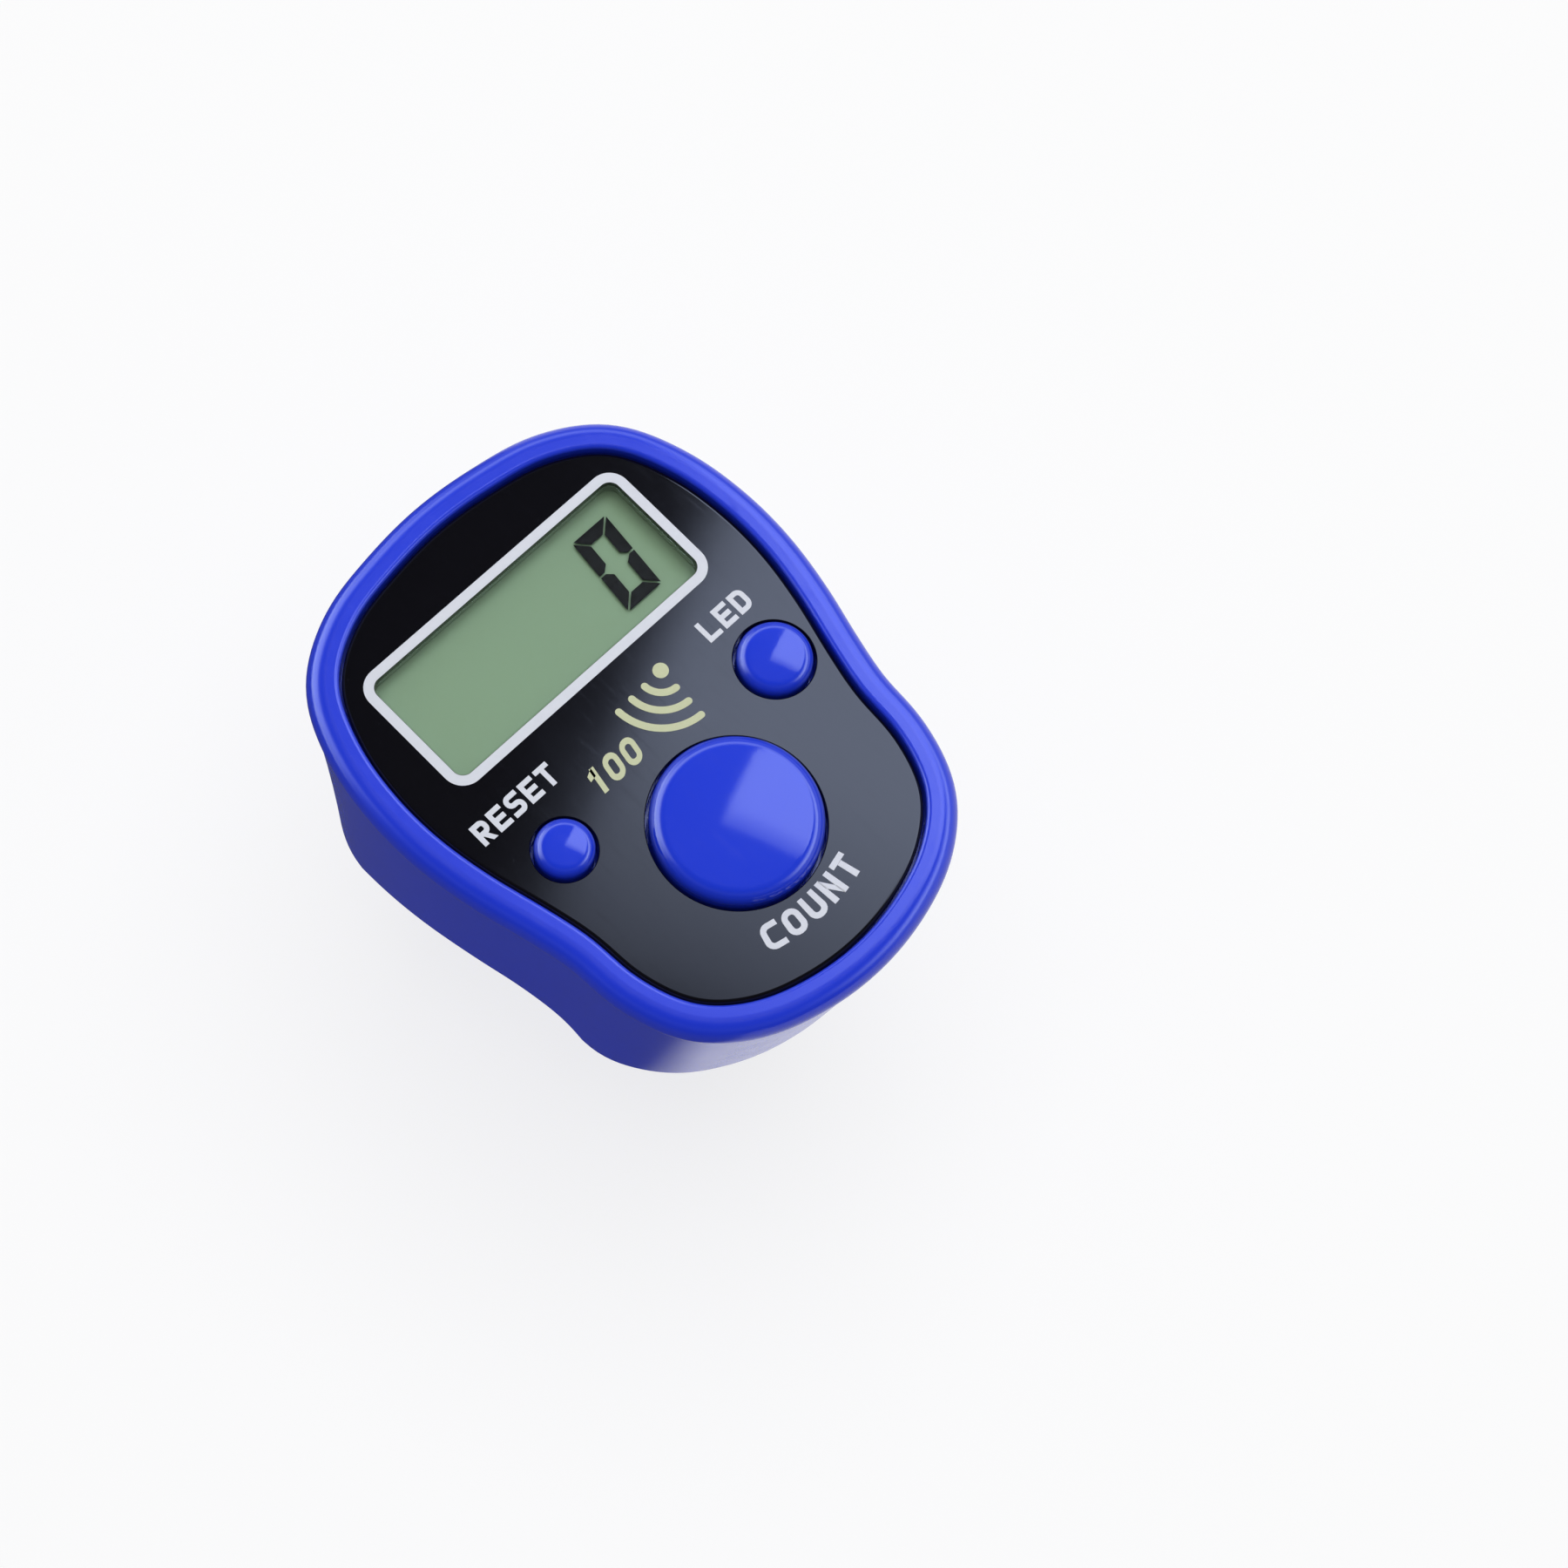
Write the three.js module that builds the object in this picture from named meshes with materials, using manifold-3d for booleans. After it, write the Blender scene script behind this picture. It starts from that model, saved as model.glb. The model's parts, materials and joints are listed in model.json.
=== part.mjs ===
// Finger tally counter: a small case worn on the finger by a strap, with a display and three buttons.
// Lengths are millimetres and angles are degrees. +Z points out of the face, +Y to the top of the
// display and +X along the finger. The origin lies under the middle of the case, on the flat underside
// of the strap.

import * as THREE from 'three';
import { mergeVertices, toCreasedNormals } from 'three/addons/utils/BufferGeometryUtils.js';
import Module from 'manifold-3d';

const wasm = await Module();
wasm.setup();

// Clearances
const snugGap = 0.1;
const plateGap = 0.15;
const buttonGap = 0.25;
const shellGap = 0.2;
const slideGap = 0.15;
const pinGap = 0.15;
const boardGap = 0.4;
const layerGap = 0.3;

// Face plate: half widths of its outline at heights along Y, from the top of the display end down
const plateStations = [
  [0, 17.9],
  [4.1, 17.55],
  [7.9, 16.7],
  [11.1, 14.6],
  [12.8, 11.0],
  [13.45, 7.1],
  [13.4, 3.4],
  [12.75, -0.4],
  [11.9, -3.6],
  [11.15, -7.0],
  [10.85, -10.6],
  [9.5, -14.1],
  [6.9, -16.3],
  [3.5, -17.5],
  [0, -17.9],
];
const plateThick = 1.2;
const plateEdgeDrop = 0.5;
const plateEdgeRoll = 1.6;
const plateRollSteps = [[0, 0], [0.18, 0.52], [0.5, 0.82], [1, 1]];

// Case
const footZ = 18.5;
const rimRise = 0.55;
const rimWidth = 2.15;
const beadRadius = 1.25;
const lipRadius = 0.3;
const beadTuck = 0.17;
const creaseDrop = 0.5;
const caseWall = 1.45;
const deckThick = 0.8;
const endDraft = 8;
const draftFromY = 9;
const draftToY = 17;
const saddleRadius = 16.2;
const saddleRise = 2.75;
const floorThick = 1.2;
const skirtWall = 0.9;
const skirtDrop = 2.4;
const openingCorner = 0.5;

// Display
const displayY = 9.3;
const windowWidth = 20;
const windowHeight = 8.05;
const windowCorner = 0.75;
const windowInset = 0.05;
const glassWidth = 21.8;
const glassTopMargin = 0.6;
const glassSideOverhang = 0.9;
const glassThick = 0.55;
const polariserThick = 0.15;
const contactLedge = 1.9;
const lightPanelThick = 0.9;
const holderWall = 0.5;
const holderCorner = 1.3;
const filmMargin = 0.4;
const filmLowMargin = 0.3;
const zebraWidth = 1.3;
const zebraLength = 19;

// Buttons
const countX = 0;
const countY = -7.8;
const countRadius = 5.43;
const countProud = 1.8;
const countTravel = 0.9;
const ledX = 9.0;
const ledY = -2.0;
const ledRadius = 2.4;
const resetX = -8.6;
const resetY = -2.0;
const resetRadius = 1.95;
const smallProud = 1.1;
const smallTravel = 0.7;
const buttonCrown = 0.45;
const countShoulder = 0.95;
const smallShoulder = 0.7;
const shoulderSweep = 62;
const crownShoulderShare = 0.55;
const crownStep = 0.6;
const ceilingDrop = 0.3;
const flangeReach = 0.7;
const flangeThick = 0.45;
const capWall = 0.8;

// Keypad under the buttons
const matThick = 0.4;
const matTopY = 2.1;
const domeWall = 0.45;
const countDomeRadius = 3.3;
const smallDomeRadius = 1.9;
const domeTaper = 0.9;
const domeFootRise = 0.3;
const domeTopRise = 0.35;
const domeInnerShare = 0.6;
const pillThick = 0.35;
const countPillRadius = 1.5;
const smallPillRadius = 0.6;

// Circuit board and what it carries
const boardThick = 0.8;
const contactRoom = 0.7;
const chipHeadroom = 0.5;
const boardScrewYs = [0.9, 15.9];
const boardPostRadius = 1.25;
const boardRestYs = [1.6, -13.4];
const boardRestThick = 0.8;
const boardRestReach = 0.9;
const chipOffset = 4;
const chipRadius = 2.9;
const chipHeight = 0.8;
const chipSteps = [[1, 0], [0.93, 0.4], [0.72, 0.78], [0.4, 0.95], [0, 1]];
const crystalRadius = 0.75;
const crystalLength = 5;
const crystalY = -9.5;
const chipPartLength = 1.6;
const chipPartWidth = 0.8;
const chipPartHeight = 0.5;
const resistorSpots = [[-5, 9.4], [5, 9.4]];
const capacitorSpot = [5, -9.5];
const lampWidth = 1.2;
const lampLength = 2.8;
const lampHeight = 1.1;
const lampGateHeight = 1.4;
const lampLensDepth = 0.3;
const lampLensInset = 0.2;

// Button cells and their door
const cellRadius = 5.8;
const cellHeight = 3.05;
const cellSpacing = 12.1;
const cellRim = 0.35;
const cellCapStep = 0.25;
const cellCapInset = 1.1;
const cellEdge = 0.15;
const bayGap = 0.2;
const bayWall = 0.7;
const bayDrop = 0.7;
const contactThick = 0.2;
const contactWidth = 2.4;
const contactLowY = -4.2;
const contactHighY = 3.4;
const contactFingerWidth = 1.6;
const contactFingerYs = [-2.6, -0.6];
const contactTabWidth = 1;
const contactTabReach = 1.2;
const bridgeLength = 18.6;
const bridgeWidth = 4;
const bridgeSlotLength = 3.6;
const bridgeSlotWidth = 0.3;
const bridgeSlotY = 1;
const doorHalfWidth = 6.4;
const doorTravel = 4;
const doorTongueReach = 0.6;
const doorTongueThick = 0.45;
const doorTongueLength = 3;
const doorTongueXs = [-5.6, 2.8];
const doorGripXs = [7.2, 8.7, 10.2, 11.7];
const doorGripRise = 0.25;
const doorGripWidth = 0.6;
const doorGripLength = 6;
const doorGripRoot = 0.2;

// Sounder
const buzzerY = 11.1;
const buzzerRadius = 4.4;
const buzzerThick = 0.2;
const ceramicRadius = 3.1;
const buzzerSeatRise = 3.8;
const buzzerSeatWall = 0.8;
const buzzerSeatInset = 0.2;
const leafWidth = 1;
const leafThick = 0.2;
const leafLength = 3;
const leafXs = [-1, 3.2];

// Screws
const screwHeadRadius = 1.5;
const screwHeadHeight = 0.8;
const screwShankRadius = 0.8;
const screwLength = 5.2;
const screwBossRadius = 1.7;
const screwRecess = 0.2;
const bossSeatRise = 2.7;
const bossWebShare = 0.6;
const pedestalWall = 0.4;
const pilotRoom = 0.4;
const screwTipShare = 0.5;
const headRimShare = 0.55;
const headTopShare = 0.72;
const recessArmShare = 0.55;
const recessWidthShare = 0.22;
const recessDepthShare = 0.6;
const displayEndScrew = [9.4, 12];
const countEndScrew = [7.8, -11.4];
const boardScrewHeadRadius = 1.1;
const boardScrewHeadHeight = 0.5;
const boardScrewShankRadius = 0.55;
const boardScrewLength = 2.6;

// Strap
const strapWidth = 9;
const strapThick = 1.3;
const strapEdge = 0.25;
const strapPinY = 13.8;
const strapPinRadius = 0.6;
const strapPinLength = 12.2;
const strapEyeWall = 0.55;
const strapEyeInset = 0.3;
const strapFlat = 5;
const strapSideY = 14.6;
const strapSideZ = 11.6;
const strapTailZ = 15.2;
const strapBendDrop = 2;
const strapSideLead = 3;
const shortBendDrop = 1;
const shortBendEnd = 0.6;
const shortSideLead = 0.4;
const strapHoleRadius = 1;
const strapHolePitch = 3;
const strapHoleCount = 5;
const strapHoleFirst = 2.4;
const studHoles = [1, 2];
const studRadius = 0.75;
const studHeadRadius = 1.35;
const studHeadThick = 0.65;
const studHeadEdge = 0.26;
const studHeadTaper = 0.6;
const shortTail = 2.6;
const lugWall = 1.6;
const lugTopWall = 0.7;

// Facets
const outlinePoints = 60;
const saddleFacets = 54;
const countFacets = 32;
const roundFacets = 24;
const buttonFacets = 18;
const smallFacets = 12;
const pinFacets = 10;
const tinyFacets = 8;
const strapSteps = 5;
const creaseAngle = Math.PI / 7;
const mergeTolerance = 1e-4;
const overrun = 1;
const reach = 30;

// Levels that follow from the sizes
const saddleTopZ = footZ + saddleRise;
const saddleAxisZ = saddleTopZ - saddleRadius;
const floorRadius = saddleRadius + floorThick;
const bridgeZ = saddleTopZ + floorThick + snugGap;
const cellUnderZ = bridgeZ + contactThick + snugGap;
const cellTopZ = cellUnderZ + cellHeight;
const bayTopZ = cellTopZ - bayDrop;
const boardUnderZ = cellTopZ + contactRoom;
const boardTopZ = boardUnderZ + boardThick;
const panelTopZ = boardTopZ + snugGap / 2 + chipHeight + chipHeadroom + lightPanelThick;
const backGlassTopZ = panelTopZ + snugGap + glassThick;
const frontGlassTopZ = backGlassTopZ + snugGap / 2 + glassThick;
const polariserTopZ = frontGlassTopZ + snugGap / 2 + polariserThick;
const plateUnderZ = polariserTopZ + buttonGap;
const faceZ = plateUnderZ + plateThick;
const rimTopZ = faceZ + rimRise;
const creaseZ = rimTopZ - beadRadius - creaseDrop;
const deckTopZ = plateUnderZ - snugGap;
const deckUnderZ = deckTopZ - deckThick;
const wallOuter = rimWidth - beadTuck;
const wallInner = wallOuter - caseWall;
const baseOuter = wallInner - shellGap;
const skirtTopZ = boardUnderZ - skirtDrop;
const bossSeatZ = footZ + bossSeatRise;
const buzzerSeatZ = footZ + buzzerSeatRise;
const glassTopY = displayY + windowHeight / 2 + glassTopMargin;
const backGlassLowY = displayY - windowHeight / 2 - glassSideOverhang / 2;
const glassLowY = backGlassLowY - contactLedge;
const matUnderZ = boardTopZ + snugGap;
const matTopZ = matUnderZ + matThick;
const domeFootZ = matTopZ + snugGap;
const strapPinZ = footZ + strapPinRadius + strapEyeWall + pinGap + strapEyeInset;
const strapEyeRadius = strapPinRadius + pinGap + strapEyeWall;
const strapMidZ = strapThick / 2;
const screwHeadZ = footZ + screwRecess;

const buttons = [
  {
    name: 'count',
    x: countX,
    y: countY,
    radius: countRadius,
    proud: countProud,
    travel: countTravel,
    shoulder: countShoulder,
    domeRadius: countDomeRadius,
    pillRadius: countPillRadius,
    facets: countFacets,
  },
  {
    name: 'led',
    x: ledX,
    y: ledY,
    radius: ledRadius,
    proud: smallProud,
    travel: smallTravel,
    shoulder: smallShoulder,
    domeRadius: smallDomeRadius,
    pillRadius: smallPillRadius,
    facets: buttonFacets,
  },
  {
    name: 'reset',
    x: resetX,
    y: resetY,
    radius: resetRadius,
    proud: smallProud,
    travel: smallTravel,
    shoulder: smallShoulder,
    domeRadius: smallDomeRadius,
    pillRadius: smallPillRadius,
    facets: buttonFacets,
  },
];

// Shapes and solids

function toSolid(geometry) {
  const bare = geometry.clone();
  bare.deleteAttribute('normal');
  bare.deleteAttribute('uv');
  const merged = mergeVertices(bare, mergeTolerance);
  const index = merged.index.array;
  const kept = [];
  for (let i = 0; i < index.length; i += 3) {
    const [a, b, c] = [index[i], index[i + 1], index[i + 2]];
    if (a !== b && b !== c && c !== a) kept.push(a, b, c);
  }
  return new wasm.Manifold(new wasm.Mesh({
    numProp: 3,
    vertProperties: new Float32Array(merged.attributes.position.array),
    triVerts: new Uint32Array(kept),
  }));
}

function toGeometry(solid) {
  const mesh = solid.getMesh();
  const geometry = new THREE.BufferGeometry();
  geometry.setAttribute('position', new THREE.BufferAttribute(mesh.vertProperties, 3));
  geometry.setIndex(new THREE.BufferAttribute(mesh.triVerts, 1));
  return toCreasedNormals(geometry, creaseAngle);
}

function join(...solids) {
  return solids.reduce((whole, solid) => whole.add(solid));
}

function cut(solid, ...tools) {
  return tools.reduce((rest, tool) => rest.subtract(tool), solid);
}

function block(x0, x1, y0, y1, z0, z1) {
  const geometry = new THREE.BoxGeometry(x1 - x0, y1 - y0, z1 - z0);
  geometry.translate((x0 + x1) / 2, (y0 + y1) / 2, (z0 + z1) / 2);
  return toSolid(geometry);
}

function post(x, y, radius, z0, z1, facets = smallFacets) {
  const geometry = new THREE.CylinderGeometry(radius, radius, z1 - z0, facets);
  geometry.rotateX(Math.PI / 2);
  geometry.translate(x, y, (z0 + z1) / 2);
  return toSolid(geometry);
}

function rod(radius, x0, x1, y, z, facets = smallFacets) {
  const geometry = new THREE.CylinderGeometry(radius, radius, x1 - x0, facets);
  geometry.rotateZ(Math.PI / 2);
  geometry.translate((x0 + x1) / 2, y, z);
  return toSolid(geometry);
}

function prism(shape, z0, z1, curveSegments = 4) {
  const geometry = new THREE.ExtrudeGeometry(shape, {
    depth: z1 - z0,
    bevelEnabled: false,
    curveSegments,
  });
  geometry.translate(0, 0, z0);
  return toSolid(geometry);
}

function turned(profile, facets, x = 0, y = 0) {
  const geometry = new THREE.LatheGeometry(profile.map(([r, z]) => new THREE.Vector2(r, z)), facets);
  geometry.rotateX(Math.PI / 2);
  geometry.translate(x, y, 0);
  return toSolid(geometry);
}

function roundedRectangle(x0, x1, y0, y1, radius) {
  const shape = new THREE.Shape();
  shape.moveTo(x0 + radius, y0);
  shape.lineTo(x1 - radius, y0);
  shape.absarc(x1 - radius, y0 + radius, radius, -Math.PI / 2, 0, false);
  shape.lineTo(x1, y1 - radius);
  shape.absarc(x1 - radius, y1 - radius, radius, 0, Math.PI / 2, false);
  shape.lineTo(x0 + radius, y1);
  shape.absarc(x0 + radius, y1 - radius, radius, Math.PI / 2, Math.PI, false);
  shape.lineTo(x0, y0 + radius);
  shape.absarc(x0 + radius, y0 + radius, radius, Math.PI, Math.PI * 1.5, false);
  return shape;
}

function arcPoints(centreR, centreZ, radius, fromDegrees, toDegrees, steps) {
  const points = [];
  for (let i = 0; i <= steps; i += 1) {
    const angle = THREE.MathUtils.degToRad(fromDegrees + ((toDegrees - fromDegrees) * i) / steps);
    points.push([centreR + radius * Math.cos(angle), centreZ + radius * Math.sin(angle)]);
  }
  return points;
}

// The outline that the face plate, the rim, the walls and the board all follow

function plateOutline() {
  const inner = plateStations.slice(1, -1);
  const left = inner.map(([halfWidth, y]) => new THREE.Vector3(-halfWidth, y, 0));
  const right = inner.map(([halfWidth, y]) => new THREE.Vector3(halfWidth, y, 0)).reverse();
  const top = new THREE.Vector3(0, plateStations[0][1], 0);
  const bottom = new THREE.Vector3(0, plateStations.at(-1)[1], 0);
  const curve = new THREE.CatmullRomCurve3([top, ...left, bottom, ...right], true, 'centripetal');
  const points = curve.getSpacedPoints(outlinePoints).slice(0, outlinePoints);
  return points.map((point, i) => {
    const after = points[(i + 1) % outlinePoints];
    const before = points[(i + outlinePoints - 1) % outlinePoints];
    const along = after.clone().sub(before).normalize();
    return { point, normal: new THREE.Vector3(along.y, -along.x, 0) };
  });
}

const outline = plateOutline();

function draftInset(y, z) {
  const share = THREE.MathUtils.smoothstep(Math.abs(y), draftFromY, draftToY);
  return Math.tan(THREE.MathUtils.degToRad(endDraft)) * Math.max(0, creaseZ - z) * share;
}

function ring(offset, z) {
  return outline.map(({ point, normal }) => {
    const out = offset - draftInset(point.y, z);
    return new THREE.Vector3(point.x + normal.x * out, point.y + normal.y * out, z);
  });
}

function capFaces(points, start, upward) {
  const flat = points.map((p) => new THREE.Vector2(p.x, p.y));
  return THREE.ShapeUtils.triangulateShape(flat, []).flatMap(([a, b, c]) => {
    const ab = flat[b].clone().sub(flat[a]);
    const ac = flat[c].clone().sub(flat[a]);
    const turnsLeft = ab.cross(ac) > 0;
    return turnsLeft === upward ? [start + a, start + b, start + c] : [start + a, start + c, start + b];
  });
}

function loft(rings) {
  const count = rings[0].length;
  const index = capFaces(rings[0], 0, false);
  for (let k = 0; k + 1 < rings.length; k += 1) {
    for (let i = 0; i < count; i += 1) {
      const a = k * count + i;
      const b = k * count + ((i + 1) % count);
      index.push(a, b, b + count, a, b + count, a + count);
    }
  }
  index.push(...capFaces(rings.at(-1), (rings.length - 1) * count, true));
  const geometry = new THREE.BufferGeometry().setFromPoints(rings.flat());
  geometry.setIndex(index);
  return toSolid(geometry);
}

function follow(profile) {
  return loft(profile.map(([offset, z]) => ring(offset, z)));
}

// The saddle in the back that the finger lies in: a round channel along X

function saddleChannel(radius) {
  return rod(radius, -reach, reach, 0, saddleAxisZ, saddleFacets);
}

function saddleBand(innerRadius, outerRadius, halfWidth, x0, x1) {
  const band = cut(saddleChannel(outerRadius), saddleChannel(innerRadius));
  return band.intersect(block(x0, x1, -halfWidth, halfWidth, saddleAxisZ, faceZ));
}

// Case

function rimProfile() {
  const beadCentre = rimWidth - beadRadius;
  const bead = arcPoints(beadCentre, rimTopZ - beadRadius, beadRadius, 0, 90, 4);
  const lip = arcPoints(plateGap + lipRadius, rimTopZ - lipRadius, lipRadius, 90, 180, 2);
  return [...bead, ...lip];
}

function screwSites() {
  return [displayEndScrew, countEndScrew].flatMap(([x, y]) => [[-x, y], [x, y]]);
}

function countEndBosses() {
  const [x, y] = countEndScrew;
  return [-x, x].map((side) => post(side, y, screwBossRadius, bossSeatZ + shellGap, deckTopZ));
}

function displayEndBosses(grow) {
  const [x, y] = displayEndScrew;
  const top = boardUnderZ - boardGap;
  const low = bossSeatZ + shellGap - grow;
  const half = screwBossRadius * bossWebShare + grow;
  const middle = wallOuter - caseWall / 2;
  const core = cut(
    block(-reach, reach, y - half, y + half, low, top),
    block(-x, x, y - half - overrun, y + half + overrun, low - overrun, top + overrun),
  );
  const webs = core.intersect(follow([[middle, low - overrun], [middle, top + overrun]]));
  return [post(-x, y, screwBossRadius + grow, low, top), post(x, y, screwBossRadius + grow, low, top), webs];
}

function boardPosts() {
  return boardScrewYs.map((y) => post(0, y, boardPostRadius, boardTopZ + snugGap, deckTopZ));
}

function boardRests(grow) {
  const ribs = boardRestYs.map((y) => {
    const half = boardRestThick / 2 + grow;
    return block(-reach, reach, y - half, y + half, boardTopZ + snugGap, deckTopZ);
  });
  const middle = wallOuter - caseWall / 2;
  const face = wallInner - boardRestReach - grow;
  const zone = cut(
    follow([[middle, boardTopZ], [middle, deckTopZ]]),
    follow([[face, boardTopZ - overrun], [face, deckTopZ + overrun]]),
  );
  return ribs.map((rib) => rib.intersect(zone));
}

function displayOpening(z0, z1) {
  const half = glassWidth / 2 + plateGap;
  const shape = roundedRectangle(-half, half, glassLowY - plateGap, glassTopY + plateGap, openingCorner);
  return prism(shape, z0, z1, 3);
}

function doorPassage(x0, x1) {
  const groove = floorRadius + slideGap;
  const lip = groove - doorTongueThick - 2 * slideGap;
  return join(
    saddleBand(saddleRadius - overrun, groove, doorHalfWidth + slideGap, x0, x1),
    saddleBand(lip, groove, doorHalfWidth + doorTongueReach + 2 * slideGap, x0, x1),
    block(x0, x1, -bridgeWidth / 2 - slideGap, bridgeWidth / 2 + slideGap, footZ, cellUnderZ),
  );
}

function upperCasing() {
  const shell = follow([[wallOuter, footZ], [wallOuter, creaseZ], ...rimProfile()]);
  const cavity = follow([[wallInner, footZ - overrun], [wallInner, deckUnderZ]]);
  const recess = follow([[plateGap, deckTopZ], [plateGap, creaseZ], [plateGap, rimTopZ + overrun]]);
  const low = deckUnderZ - overrun;
  const high = deckTopZ + overrun;
  const buttonHoles = buttons.map((b) => post(b.x, b.y, b.radius + buttonGap, low, high, b.facets));
  const hollow = cut(shell, cavity, recess, displayOpening(low, high), ...buttonHoles);
  const bossed = join(hollow, ...countEndBosses(), ...displayEndBosses(0), ...boardPosts(), ...boardRests(0));
  const pilotTop = screwHeadZ + screwHeadHeight + screwLength + pilotRoom;
  const pilots = screwSites().map(([x, y]) => {
    return post(x, y, screwShankRadius + pinGap, footZ, pilotTop, tinyFacets);
  });
  const boardPilots = boardScrewYs.map((y) => {
    const top = boardUnderZ + boardScrewLength + snugGap;
    return post(0, y, boardScrewShankRadius + pinGap, boardTopZ - overrun, top, tinyFacets);
  });
  const doorRoom = doorPassage(doorGripXs[0], reach);
  return cut(bossed, ...pilots, ...boardPilots, saddleChannel(saddleRadius), doorRoom);
}

function strapLug(side) {
  const half = strapPinLength / 2 + lugWall / 2;
  const halfDepth = strapEyeRadius + pinGap + lugWall;
  const top = strapPinZ + strapEyeRadius + pinGap + lugTopWall;
  return block(-half, half, side * strapPinY - halfDepth, side * strapPinY + halfDepth, footZ, top);
}

function strapSlot(side) {
  const half = strapWidth / 2 + layerGap;
  const halfDepth = strapEyeRadius + pinGap;
  const top = strapPinZ + strapEyeRadius + pinGap;
  return block(-half, half, side * strapPinY - halfDepth, side * strapPinY + halfDepth, footZ - overrun, top);
}

function strapPinHole(side) {
  const blindEnd = -strapPinLength / 2 - pinGap;
  return rod(strapPinRadius + pinGap, blindEnd, reach, side * strapPinY, strapPinZ);
}

function cellBay() {
  const walls = [-1, 1].map((side) => {
    const x = (side * cellSpacing) / 2;
    return post(x, 0, cellRadius + bayGap + bayWall, saddleTopZ - overrun, bayTopZ, roundFacets);
  });
  return cut(join(...walls), saddleChannel(saddleRadius + floorThick / 2));
}

function cellSpace() {
  return [-1, 1].map((side) => {
    const x = (side * cellSpacing) / 2;
    return post(x, 0, cellRadius + bayGap, saddleTopZ + floorThick / 2, bayTopZ + overrun, roundFacets);
  });
}

function doorOpening() {
  const x = -cellSpacing / 2;
  const top = saddleTopZ + floorThick + slideGap;
  const roundEnd = post(x, 0, doorHalfWidth + slideGap, footZ, top, roundFacets);
  const straight = doorPassage(x, reach);
  const releases = doorTongueXs.map((from) => {
    const half = doorHalfWidth + doorTongueReach + 2 * slideGap;
    const start = from + doorTravel - slideGap;
    const end = start + doorTongueLength + 2 * slideGap;
    return saddleBand(saddleRadius - overrun, floorRadius + slideGap, half, start, end);
  });
  return join(roundEnd, straight, ...releases);
}

function lowerCasing() {
  const skirtInner = baseOuter - skirtWall;
  const skirtMiddle = baseOuter - skirtWall / 2;
  const outer = follow([[baseOuter, footZ], [baseOuter, skirtTopZ]]);
  const hollow = follow([[skirtInner, footZ + floorThick], [skirtInner, skirtTopZ + overrun]]);
  const tray = cut(outer, saddleChannel(saddleRadius), cut(hollow, saddleChannel(floorRadius)));
  const pedestalRadius = screwBossRadius + pedestalWall;
  const pedestals = screwSites().map(([x, y]) => post(x, y, pedestalRadius, footZ, bossSeatZ));
  const seatRadius = buzzerRadius - buzzerSeatInset;
  const seatRing = cut(
    post(0, buzzerY, seatRadius, footZ + floorThick / 2, buzzerSeatZ, buttonFacets),
    post(0, buzzerY, seatRadius - buzzerSeatWall, footZ, buzzerSeatZ + overrun, buttonFacets),
    saddleChannel(saddleRadius + floorThick / 2),
  );
  const features = join(cellBay(), seatRing, strapLug(-1), strapLug(1), ...pedestals);
  const inside = follow([[skirtMiddle, footZ], [skirtMiddle, bayTopZ + overrun]]);
  const whole = join(tray, cut(features.intersect(inside), saddleChannel(saddleRadius)));
  const [bossX, bossY] = countEndScrew;
  const bossSpaces = [-bossX, bossX].map((x) => {
    return post(x, bossY, screwBossRadius + shellGap, bossSeatZ, bayTopZ + overrun);
  });
  const heads = screwSites().map(([x, y]) => {
    const seat = screwHeadZ + screwHeadHeight + snugGap;
    return join(
      post(x, y, screwHeadRadius + pinGap, footZ - overrun, seat),
      post(x, y, screwShankRadius + pinGap, footZ, bossSeatZ + overrun, tinyFacets),
    );
  });
  return cut(
    whole,
    ...cellSpace(),
    doorOpening(),
    strapSlot(-1),
    strapSlot(1),
    strapPinHole(-1),
    strapPinHole(1),
    ...bossSpaces,
    ...displayEndBosses(shellGap),
    ...heads,
  );
}

// Face plate, window and display

function windowShape(gap) {
  const halfWidth = windowWidth / 2 - gap;
  const halfHeight = windowHeight / 2 - gap;
  const low = displayY - halfHeight;
  const high = displayY + halfHeight;
  return roundedRectangle(-halfWidth, halfWidth, low, high, windowCorner - gap);
}

function facePlate() {
  const roll = plateRollSteps.map(([across, up]) => {
    return [-plateEdgeRoll * across, faceZ - plateEdgeDrop * (1 - up)];
  });
  const plate = follow([[0, plateUnderZ], ...roll]);
  const low = plateUnderZ - overrun;
  const holes = buttons.map((b) => post(b.x, b.y, b.radius + buttonGap, low, rimTopZ, b.facets));
  return cut(plate, prism(windowShape(0), low, rimTopZ), ...holes);
}

function displayWindow() {
  return prism(windowShape(plateGap), plateUnderZ, faceZ - windowInset);
}

function glassLayer(lowY, highY, overhang, z0, z1) {
  const half = glassWidth / 2 - overhang;
  return block(-half, half, lowY, highY, z0, z1);
}

function frontPolariser() {
  const low = backGlassLowY + filmLowMargin;
  return glassLayer(low, glassTopY - filmMargin, filmMargin, polariserTopZ - polariserThick, polariserTopZ);
}

function frontGlass() {
  return glassLayer(glassLowY, glassTopY, 0, frontGlassTopZ - glassThick, frontGlassTopZ);
}

function backGlass() {
  return glassLayer(backGlassLowY, glassTopY, 0, backGlassTopZ - glassThick, backGlassTopZ);
}

function lightPanel() {
  const under = panelTopZ - lightPanelThick;
  return glassLayer(backGlassLowY, glassTopY - filmMargin, filmMargin, under, panelTopZ);
}

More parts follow.
